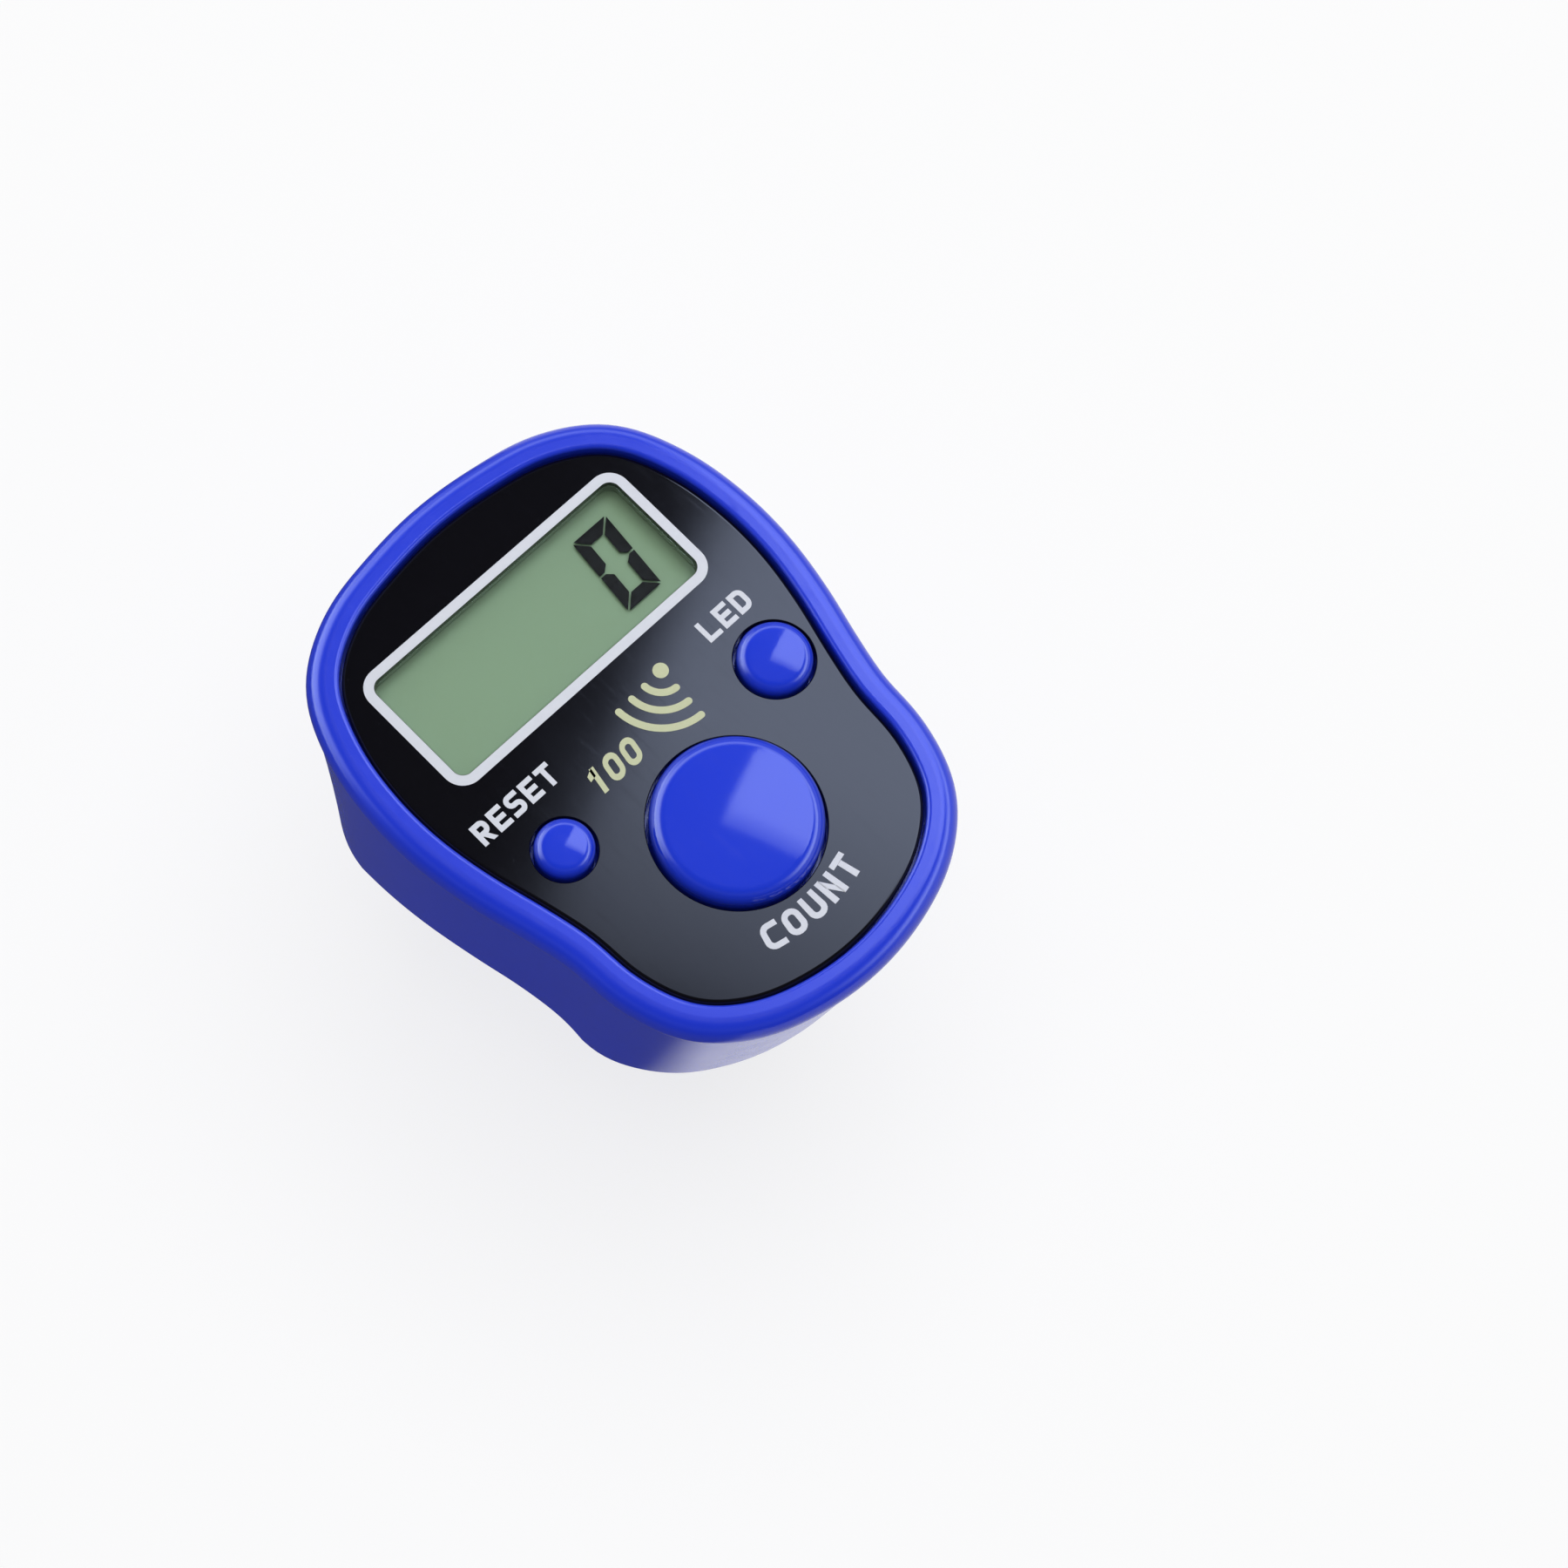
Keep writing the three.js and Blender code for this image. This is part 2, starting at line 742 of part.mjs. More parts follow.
function displayHolder() {
  const half = glassWidth / 2 + snugGap + holderWall;
  const low = glassLowY - snugGap - holderWall;
  const high = glassTopY + snugGap + holderWall;
  const under = boardTopZ + snugGap;
  const top = deckUnderZ - snugGap;
  const room = follow([[wallInner - snugGap, under], [wallInner - snugGap, top]]);
  const frame = prism(roundedRectangle(-half, half, low, high, holderCorner), under, top).intersect(room);
  const pocketHalf = glassWidth / 2 + snugGap;
  const pocketFloor = backGlassTopZ - glassThick - snugGap;
  const pocketLow = glassLowY - snugGap;
  const pocketHigh = glassTopY + snugGap;
  const pocket = block(-pocketHalf, pocketHalf, pocketLow, pocketHigh, pocketFloor, rimTopZ);
  const panelHalf = glassWidth / 2 - filmMargin + snugGap;
  const panelLow = backGlassLowY - snugGap;
  const panelHigh = glassTopY - filmMargin + snugGap;
  const panelHole = block(-panelHalf, panelHalf, panelLow, panelHigh, under - overrun, rimTopZ);
  const zebraHole = block(
    -zebraLength / 2 - snugGap,
    zebraLength / 2 + snugGap,
    glassLowY + snugGap,
    glassLowY + 3 * snugGap + zebraWidth,
    under - overrun,
    rimTopZ,
  );
  const lampHalf = lampLength / 2;
  const gateTop = under + lampGateHeight;
  const lampGate = block(0, reach, displayY - lampHalf, displayY + lampHalf, under - overrun, gateTop);
  return cut(frame, pocket, panelHole, zebraHole, lampGate);
}

function zebraStrip() {
  const low = glassLowY + 2 * snugGap;
  const top = frontGlassTopZ - glassThick - snugGap / 2;
  return block(-zebraLength / 2, zebraLength / 2, low, low + zebraWidth, boardTopZ + snugGap / 2, top);
}

// Buttons and keypad

function domeTopOf(travel) {
  return boardTopZ + travel + pillThick + domeWall + 3 * snugGap;
}

function buttonCap({ x, y, radius, proud, travel, shoulder, domeRadius, facets }) {
  const top = faceZ + proud;
  const flangeTop = deckUnderZ - snugGap;
  const flangeUnder = flangeTop - flangeThick;
  const plunger = domeRadius - domeTaper;
  const plungerZ = domeTopOf(travel) + snugGap;
  const ceiling = top - buttonCrown - shoulder - ceilingDrop;
  const side = top - buttonCrown * crownShoulderShare - shoulder;
  const round = arcPoints(radius - shoulder, side, shoulder, 0, shoulderSweep, 3);
  const [endRadius, endZ] = round.at(-1);
  return turned([
    [0, plungerZ],
    [plunger, plungerZ],
    [plunger, ceiling],
    [radius - capWall, ceiling],
    [radius - capWall, flangeUnder],
    [radius + flangeReach, flangeUnder],
    [radius + flangeReach, flangeTop],
    [radius, flangeTop],
    ...round,
    [endRadius * crownStep, top - (top - endZ) * crownStep * crownStep],
    [0, top],
  ], facets, x, y);
}

function keypadMat() {
  const low = matUnderZ - overrun;
  const high = matTopZ + overrun;
  const edge = wallInner - boardGap;
  const outlined = follow([[edge, matUnderZ], [edge, matTopZ]]);
  const sheet = outlined.intersect(block(-reach, reach, -reach, matTopY, low, high));
  const holes = buttons.map((b) => post(b.x, b.y, b.domeRadius + snugGap, low, high));
  const [x, y] = countEndScrew;
  const bossGaps = [-x, x].map((side) => post(side, y, screwBossRadius + boardGap, low, high));
  const posts = boardScrewYs.map((at) => post(0, at, boardPostRadius + boardGap, low, high));
  return cut(sheet, ...holes, ...bossGaps, ...posts, ...boardRests(boardGap));
}

function rubberDome({ x, y, travel, domeRadius }) {
  const shoulder = domeRadius - domeTaper;
  const top = domeTopOf(travel);
  return turned([
    [0, top - domeWall],
    [shoulder - domeWall * domeInnerShare, top - domeWall],
    [domeRadius - domeWall, domeFootZ],
    [domeRadius, domeFootZ],
    [domeRadius, domeFootZ + domeFootRise],
    [shoulder, top - domeTopRise],
    [shoulder, top],
    [0, top],
  ], smallFacets, x, y);
}

function contactPill({ x, y, travel, pillRadius }) {
  const top = domeTopOf(travel) - domeWall - snugGap;
  return post(x, y, pillRadius, top - pillThick, top, tinyFacets);
}

// Circuit board

function circuitBoard() {
  const edge = wallInner - boardGap;
  const sheet = follow([[edge, boardUnderZ], [edge, boardTopZ]]);
  const notches = screwSites().map(([x, y]) => {
    return post(x, y, screwBossRadius + boardGap, boardUnderZ - overrun, boardTopZ + overrun);
  });
  const holes = boardScrewYs.map((y) => {
    return post(0, y, boardScrewShankRadius + pinGap, boardUnderZ - overrun, boardTopZ + overrun, tinyFacets);
  });
  return cut(sheet, ...notches, ...holes);
}

function controllerChip() {
  const under = boardTopZ + snugGap / 2;
  const drop = chipSteps.map(([across, up]) => [chipRadius * across, under + chipHeight * up]);
  return turned([[0, under], ...drop], smallFacets, -chipOffset, displayY);
}

function timingCrystal() {
  const z = boardUnderZ - snugGap - crystalRadius;
  const geometry = new THREE.CapsuleGeometry(crystalRadius, crystalLength - 2 * crystalRadius, 3, tinyFacets);
  geometry.rotateZ(Math.PI / 2);
  geometry.translate(0, crystalY, z);
  return toSolid(geometry);
}

function surfacePart(x, y) {
  const top = boardUnderZ - snugGap / 2;
  const halfX = chipPartLength / 2;
  const halfY = chipPartWidth / 2;
  return block(x - halfX, x + halfX, y - halfY, y + halfY, top - chipPartHeight, top);
}

function ledLamp() {
  const x = glassWidth / 2 - filmMargin + 2 * snugGap;
  const under = boardTopZ + snugGap / 2;
  const top = under + lampHeight;
  const half = lampLength / 2;
  const lensHalf = half - lampLensInset;
  const lensLow = under + lampLensInset;
  const body = block(x, x + lampWidth, displayY - half, displayY + half, under, top);
  const lensTop = top - lampLensInset;
  const lensX = x - lampLensDepth;
  const lens = block(lensX, x + lampWidth / 2, displayY - lensHalf, displayY + lensHalf, lensLow, lensTop);
  return join(body, lens);
}

// Cells, contacts and door

function buttonCell() {
  const capRadius = cellRadius - cellCapInset;
  return turned([
    [0, 0],
    [cellRadius - cellRim, 0],
    [cellRadius, cellRim],
    [cellRadius, cellHeight - cellCapStep - cellEdge],
    [cellRadius - cellEdge, cellHeight - cellCapStep],
    [capRadius, cellHeight - cellCapStep],
    [capRadius - cellEdge, cellHeight],
    [0, cellHeight],
  ], roundFacets);
}

function boardContact(side) {
  const x = (side * cellSpacing) / 2;
  const top = boardUnderZ - snugGap;
  const low = top - contactThick;
  const half = contactWidth / 2;
  const fingerHalf = contactFingerWidth / 2;
  const tabHalf = contactTabWidth / 2;
  const tabTop = contactHighY + contactTabReach;
  const strip = block(x - half, x + half, contactLowY, contactHighY, low, top);
  const fingerLow = cellTopZ + snugGap;
  const fingerTop = low + contactThick / 2;
  const finger = block(x - fingerHalf, x + fingerHalf, ...contactFingerYs, fingerLow, fingerTop);
  const tab = block(x - tabHalf, x + tabHalf, contactHighY - contactTabReach, tabTop, low, top);
  return join(strip, finger, tab);
}

function cellBridge() {
  const half = bridgeLength / 2;
  const strip = block(-half, half, -bridgeWidth / 2, bridgeWidth / 2, bridgeZ, bridgeZ + contactThick);
  const slots = [-1, 1].flatMap((side) => {
    const x = (side * cellSpacing) / 2;
    const x0 = x - bridgeSlotLength / 2;
    const x1 = x + bridgeSlotLength / 2;
    return [-bridgeSlotY, bridgeSlotY].map((y) => {
      const slotHalf = bridgeSlotWidth / 2;
      return block(x0, x1, y - slotHalf, y + slotHalf, bridgeZ - overrun, bridgeZ + overrun);
    });
  });
  return cut(strip, ...slots);
}

function batteryDoor() {
  const x = -cellSpacing / 2;
  const rounded = post(x, 0, doorHalfWidth, saddleAxisZ, faceZ, roundFacets);
  const long = block(x, reach, -doorHalfWidth, doorHalfWidth, saddleAxisZ, faceZ);
  const plan = join(rounded, long).intersect(follow([[wallOuter, footZ], [wallOuter, creaseZ]]));
  const skin = saddleBand(saddleRadius, floorRadius, doorHalfWidth, -reach, reach).intersect(plan);
  const tongues = doorTongueXs.map((from) => {
    const half = doorHalfWidth + doorTongueReach;
    return saddleBand(floorRadius - doorTongueThick, floorRadius, half, from, from + doorTongueLength);
  });
  const grips = doorGripXs.map((from) => {
    const half = doorGripLength / 2;
    const crest = saddleRadius - doorGripRise;
    return saddleBand(crest, saddleRadius + doorGripRoot, half, from, from + doorGripWidth);
  });
  return join(skin, ...tongues, ...grips);
}

// Sounder

function buzzerDisc() {
  const z = buzzerSeatZ + snugGap;
  return post(0, buzzerY, buzzerRadius, z, z + buzzerThick, buttonFacets);
}

function buzzerCeramic() {
  const z = buzzerSeatZ + buzzerThick + 2 * snugGap;
  return post(0, buzzerY, ceramicRadius, z, z + buzzerThick, buttonFacets);
}

function leafSpring(x, lowZ) {
  const top = boardUnderZ - snugGap;
  const middle = (top + lowZ) / 2;
  const fold = leafThick * 2;
  const corners = [
    [0, lowZ],
    [leafLength, lowZ],
    [leafLength, lowZ + leafThick],
    [fold, lowZ + leafThick],
    [leafLength, middle],
    [fold, top - leafThick],
    [leafLength, top - leafThick],
    [leafLength, top],
    [0, top],
    [0, top - leafThick],
    [leafLength - fold, middle],
    [0, lowZ + leafThick],
  ];
  const shape = new THREE.Shape(corners.map(([along, z]) => new THREE.Vector2(along, z)));
  const geometry = new THREE.ExtrudeGeometry(shape, { depth: leafWidth, bevelEnabled: false });
  geometry.rotateX(Math.PI / 2);
  geometry.rotateZ(Math.PI / 2);
  geometry.translate(x, buzzerY - leafLength / 2, 0);
  return toSolid(geometry);
}

// Screws

function crossRecess(top, arm, depth) {
  const half = arm * recessWidthShare;
  return join(
    block(-arm, arm, -half, half, top - depth, top + overrun),
    block(-half, half, -arm, arm, top - depth, top + overrun),
  );
}

function screw(headRadius, headHeight, shankRadius, length, facets) {
  const tip = shankRadius * screwTipShare;
  const body = turned([
    [0, -length],
    [tip, -length],
    [shankRadius, -length + shankRadius],
    [shankRadius, 0],
    [headRadius, 0],
    [headRadius, headHeight * headRimShare],
    [headRadius * headTopShare, headHeight],
    [0, headHeight],
  ], facets);
  return cut(body, crossRecess(headHeight, headRadius * recessArmShare, headHeight * recessDepthShare));
}

// Strap

function longStrapPath() {
  const path = new THREE.Path();
  const flatZ = strapMidZ;
  const rise = strapSideZ - flatZ;
  const run = strapSideY - strapFlat;
  path.moveTo(strapPinY, strapPinZ);
  path.bezierCurveTo(
    strapPinY,
    footZ - strapBendDrop,
    strapSideY,
    strapSideZ + strapSideLead,
    strapSideY,
    strapSideZ,
  );
  path.absellipse(strapFlat, strapSideZ, run, rise, 0, -Math.PI / 2, true);
  path.lineTo(-strapFlat, flatZ);
  path.absellipse(-strapFlat, strapSideZ, run, rise, -Math.PI / 2, -Math.PI, true);
  path.lineTo(-strapSideY, strapTailZ);
  return path;
}

function shortStrapPath() {
  const path = new THREE.Path();
  const pitch = strapThick + layerGap;
  const side = strapSideY - pitch;
  const rise = strapSideZ - strapMidZ - pitch;
  const run = side - strapFlat;
  const lastHole = strapHoleFirst + strapHolePitch * Math.max(...studHoles);
  const overlap = lastHole + shortTail - (strapTailZ - strapSideZ);
  const sweep = overlap / ((run + rise) / 2);
  path.moveTo(-strapPinY, strapPinZ);
  path.bezierCurveTo(
    -strapPinY,
    footZ - shortBendDrop,
    -side,
    footZ - shortBendEnd,
    -side,
    strapTailZ + shortSideLead,
  );
  path.lineTo(-side, strapSideZ);
  path.absellipse(-strapFlat, strapSideZ, run, rise, -Math.PI, -Math.PI + sweep, false);
  return path;
}

function ribbon(path, divisions) {
  const centre = path.getPoints(divisions);
  const half = strapThick / 2;
  const normals = centre.map((point, i) => {
    const after = centre[Math.min(i + 1, centre.length - 1)];
    const before = centre[Math.max(i - 1, 0)];
    const along = after.clone().sub(before).normalize();
    return new THREE.Vector2(-along.y, along.x);
  });
  const left = centre.map((point, i) => point.clone().addScaledVector(normals[i], half));
  const right = centre.map((point, i) => point.clone().addScaledVector(normals[i], -half)).reverse();
  const shape = new THREE.Shape([...left, ...right]);
  return alongX(shape, strapWidth, strapEdge);
}

function alongX(shape, width, edge) {
  const geometry = new THREE.ExtrudeGeometry(shape, {
    depth: width - 2 * edge,
    bevelEnabled: true,
    bevelThickness: edge,
    bevelSize: edge,
    bevelOffset: -edge,
    bevelSegments: 1,
  });
  geometry.rotateX(Math.PI / 2);
  geometry.rotateZ(Math.PI / 2);
  geometry.translate(-width / 2 + edge, 0, 0);
  return toSolid(geometry);
}

function strapEye(side) {
  const half = strapWidth / 2;
  const eye = rod(strapEyeRadius, -half, half, side * strapPinY, strapPinZ, buttonFacets);
  const bore = rod(strapPinRadius + pinGap, -reach, reach, side * strapPinY, strapPinZ);
  return { eye, bore };
}

function onLongStrap(distanceFromTail) {
  const path = longStrapPath();
  const share = 1 - distanceFromTail / path.getLength();
  const point = path.getPointAt(share);
  const along = path.getTangentAt(share);
  return { point, outward: new THREE.Vector2(along.y, -along.x).negate() };
}

function acrossStrap(profile, distanceFromTail, facets) {
  const { point, outward } = onLongStrap(distanceFromTail);
  const geometry = new THREE.LatheGeometry(profile.map(([r, z]) => new THREE.Vector2(r, z)), facets);
  const axis = new THREE.Vector3(0, outward.x, outward.y);
  geometry.applyQuaternion(new THREE.Quaternion().setFromUnitVectors(new THREE.Vector3(0, 1, 0), axis));
  geometry.translate(0, point.x, point.y);
  return toSolid(geometry);
}

function strapLongHalf() {
  const { eye, bore } = strapEye(1);
  const holes = Array.from({ length: strapHoleCount }, (unused, i) => {
    const depth = strapThick / 2 + overrun;
    const profile = [[0, -depth], [strapHoleRadius, -depth], [strapHoleRadius, depth], [0, depth]];
    return acrossStrap(profile, strapHoleFirst + i * strapHolePitch, pinFacets);
  });
  return cut(join(ribbon(longStrapPath(), strapSteps), eye), bore, ...holes);
}

function strapShortHalf() {
  const { eye, bore } = strapEye(-1);
  const studs = studHoles.map((i) => {
    const head = strapThick / 2 + snugGap * 2;
    const profile = [
      [0, -strapThick - layerGap],
      [studRadius, -strapThick - layerGap],
      [studRadius, head],
      [studHeadRadius, head],
      [studHeadRadius, head + studHeadEdge],
      [studHeadRadius * studHeadTaper, head + studHeadThick],
      [0, head + studHeadThick],
    ];
    return acrossStrap(profile, strapHoleFirst + i * strapHolePitch, pinFacets);
  });
  return cut(join(ribbon(shortStrapPath(), strapSteps), eye, ...studs), bore);
}

function strapPin(side) {
  const half = strapPinLength / 2;
  return rod(strapPinRadius, -half, half, side * strapPinY, strapPinZ, pinFacets);
}

// Assembly

const finishes = {
  caseBlue: [0x2433b8, 0.22, 0],
  buttonBlue: [0x2b3cc8, 0.2, 0],
  strapBlue: [0x2a3ab0, 0.55, 0],
  blackAcrylic: [0x08080c, 0.08, 0],
  clearAcrylic: [0xdfe6e2, 0.05, 0],
  displayGrey: [0x86a07f, 0.35, 0],
  glass: [0xb8c8bc, 0.08, 0],
  whitePlastic: [0xe9e9e4, 0.5, 0],
  greyRubber: [0x9a9ca0, 0.8, 0],
  blackRubber: [0x1b1b1d, 0.85, 0],
  board: [0x1f6b3a, 0.5, 0],
  epoxy: [0x101012, 0.4, 0],
  brass: [0xb8923f, 0.35, 0.9],
  ceramic: [0xe8e4d8, 0.6, 0],
  steel: [0xb4b6ba, 0.3, 1],
  nickel: [0xc9c9c6, 0.28, 1],
};

const counter = new THREE.Group();

function add(name, solid, finish, position = [0, 0, 0], flipped = false) {
  const [color, roughness, metalness] = finishes[finish];
  const material = new THREE.MeshStandardMaterial({ color, roughness, metalness });
  const mesh = new THREE.Mesh(toGeometry(solid), material);
  mesh.name = name;
  mesh.position.set(...position);
  if (flipped) mesh.rotation.x = Math.PI;
  counter.add(mesh);
}

add('upper_casing', upperCasing(), 'caseBlue');
add('lower_casing', lowerCasing(), 'caseBlue');
add('face_plate', facePlate(), 'blackAcrylic');
add('display_window', displayWindow(), 'clearAcrylic');
add('lcd_polariser', frontPolariser(), 'displayGrey');
add('lcd_front_glass', frontGlass(), 'glass');
add('lcd_back_glass', backGlass(), 'glass');
add('backlight_panel', lightPanel(), 'whitePlastic');
add('lcd_holder', displayHolder(), 'whitePlastic');
add('zebra_strip', zebraStrip(), 'greyRubber');

for (const button of buttons) {
  add(`${button.name}_button`, buttonCap(button), 'buttonBlue');
  add(`${button.name}_dome`, rubberDome(button), 'greyRubber');
  add(`${button.name}_contact_pill`, contactPill(button), 'blackRubber');
}
add('keypad_mat', keypadMat(), 'greyRubber');

add('circuit_board', circuitBoard(), 'board');
add('controller_chip', controllerChip(), 'epoxy');
add('timing_crystal', timingCrystal(), 'steel');
resistorSpots.forEach(([x, y], i) => add(`resistor_${i + 1}`, surfacePart(x, y), 'epoxy'));
add('capacitor', surfacePart(...capacitorSpot), 'ceramic');
add('led_lamp', ledLamp(), 'whitePlastic');

add('battery_door', batteryDoor(), 'caseBlue');
add('battery_bridge', cellBridge(), 'nickel');
add('battery_contact_positive', boardContact(-1), 'nickel');
add('battery_contact_negative', boardContact(1), 'nickel');
add('button_cell_1', buttonCell(), 'steel', [-cellSpacing / 2, 0, cellTopZ], true);
add('button_cell_2', buttonCell(), 'steel', [cellSpacing / 2, 0, cellUnderZ]);

add('buzzer_disc', buzzerDisc(), 'brass');
add('buzzer_ceramic', buzzerCeramic(), 'ceramic');
add('buzzer_spring_1', leafSpring(leafXs[0], buzzerSeatZ + 2 * buzzerThick + 3 * snugGap), 'nickel');
add('buzzer_spring_2', leafSpring(leafXs[1], buzzerSeatZ + buzzerThick + 2 * snugGap), 'nickel');

screwSites().forEach(([x, y], i) => {
  const solid = screw(screwHeadRadius, screwHeadHeight, screwShankRadius, screwLength, smallFacets);
  add(`casing_screw_${i + 1}`, solid, 'steel', [x, y, screwHeadZ + screwHeadHeight], true);
});
boardScrewYs.forEach((y, i) => {
  const headSizes = [boardScrewHeadRadius, boardScrewHeadHeight];
  const solid = screw(...headSizes, boardScrewShankRadius, boardScrewLength, tinyFacets);
  add(`board_screw_${i + 1}`, solid, 'steel', [0, y, boardUnderZ - snugGap], true);
});

add('strap_long_half', strapLongHalf(), 'strapBlue');
add('strap_short_half', strapShortHalf(), 'strapBlue');
add('strap_pin_display_end', strapPin(1), 'steel');
add('strap_pin_count_end', strapPin(-1), 'steel');

export default counter;
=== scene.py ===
"""Looks of the digital finger tally counter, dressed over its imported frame."""

import json
import logging
import math
from dataclasses import dataclass, field
from enum import Enum
from typing import Callable, Sequence

import bmesh
import bpy
from mathutils import Matrix, Quaternion, Vector

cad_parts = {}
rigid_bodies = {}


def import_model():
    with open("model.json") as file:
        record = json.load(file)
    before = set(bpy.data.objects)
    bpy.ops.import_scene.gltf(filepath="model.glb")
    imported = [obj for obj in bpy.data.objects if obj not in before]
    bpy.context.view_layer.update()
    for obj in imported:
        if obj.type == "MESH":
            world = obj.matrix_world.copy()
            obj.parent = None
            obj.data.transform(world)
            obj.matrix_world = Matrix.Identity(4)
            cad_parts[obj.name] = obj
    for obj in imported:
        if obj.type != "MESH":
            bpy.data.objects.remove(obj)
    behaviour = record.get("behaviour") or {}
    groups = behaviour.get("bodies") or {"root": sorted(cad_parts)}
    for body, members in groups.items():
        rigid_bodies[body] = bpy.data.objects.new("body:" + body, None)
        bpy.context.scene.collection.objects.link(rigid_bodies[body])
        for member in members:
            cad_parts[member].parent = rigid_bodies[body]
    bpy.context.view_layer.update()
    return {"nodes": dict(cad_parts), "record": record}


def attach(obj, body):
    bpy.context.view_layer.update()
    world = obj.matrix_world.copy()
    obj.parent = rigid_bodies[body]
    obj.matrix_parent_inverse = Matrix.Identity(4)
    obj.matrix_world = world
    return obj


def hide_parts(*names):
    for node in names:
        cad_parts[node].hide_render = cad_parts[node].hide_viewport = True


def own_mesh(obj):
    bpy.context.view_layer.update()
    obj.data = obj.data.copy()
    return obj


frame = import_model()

log = logging.getLogger("tally_counter")

MM = 0.001
FLAT_DEGREES = 0.05
WELD = 1e-7
SLIVER = 1e-6
NODE_WELD = 2e-6
SEAM_MM = 1e-5
FAR_MM = 30
OVERCUT_MM = 1
INK_CREASE = 60.0
Colour = tuple[float, float, float]
Point2 = tuple[float, float]
Corner = tuple[float, float, float]
Stops = Sequence[tuple[float, float]]


class Body(Enum):
    """The bodies of the frame that a piece can ride on."""

    CASE = "body"
    COUNT = "count_key"
    LED = "led_key"
    RESET = "reset_key"
    DOOR = "door"


class Slot(Enum):
    """The material slots of the record."""

    CASE_BLUE = "case_blue"
    BUTTON_BLUE = "button_blue"
    STRAP_BLUE = "strap_blue"
    BLACK_ACRYLIC = "black_acrylic"
    CLEAR_ACRYLIC = "clear_acrylic"
    DISPLAY_GREY = "display_grey"
    DISPLAY_GLASS = "display_glass"
    WHITE_PLASTIC = "white_plastic"
    GREY_RUBBER = "grey_rubber"
    BLACK_RUBBER = "black_rubber"
    BOARD_GREEN = "board_green"
    BLACK_EPOXY = "black_epoxy"
    CERAMIC = "ceramic"
    BRASS = "brass"
    STEEL = "steel"
    NICKEL = "nickel"


# Shader expressions


class Signal:
    """A node's output that takes part in sums and products."""

    def __init__(self, recipe: "Recipe", socket: bpy.types.NodeSocket) -> None:
        """Wraps a socket.

        Args:
            recipe: The material that the socket belongs to.
            socket: The output that carries the value.
        """
        self.recipe = recipe
        self.socket = socket

    def _math(self, operation: str, first: "Signal | float", second: "Signal | float") -> "Signal":
        """Adds a Math node.

        Args:
            operation: The Math node's operation.
            first: The first value or link.
            second: The second value or link.

        Returns:
            The result as a new signal.
        """
        return self.recipe.node("ShaderNodeMath", {"operation": operation}, {0: first, 1: second}, "Value")

    def __add__(self, other: "Signal | float") -> "Signal":
        """Adds a value.

        Args:
            other: The value.

        Returns:
            The sum.
        """
        return self._math("ADD", self, other)

    def __radd__(self, other: float) -> "Signal":
        """Adds to a plain number.

        Args:
            other: The number.

        Returns:
            The sum.
        """
        return self._math("ADD", other, self)

    def __sub__(self, other: "Signal | float") -> "Signal":
        """Takes a value away.

        Args:
            other: The value.

        Returns:
            The difference.
        """
        return self._math("SUBTRACT", self, other)

    def __rsub__(self, other: float) -> "Signal":
        """Takes the signal away from a plain number.

        Args:
            other: The number.

        Returns:
            The difference.
        """
        return self._math("SUBTRACT", other, self)

    def __mul__(self, other: "Signal | float") -> "Signal":
        """Multiplies by a value.

        Args:
            other: The value.

        Returns:
            The product.
        """
        return self._math("MULTIPLY", self, other)

    def __rmul__(self, other: float) -> "Signal":
        """Multiplies a plain number.

        Args:
            other: The number.

        Returns:
            The product.
        """
        return self._math("MULTIPLY", other, self)


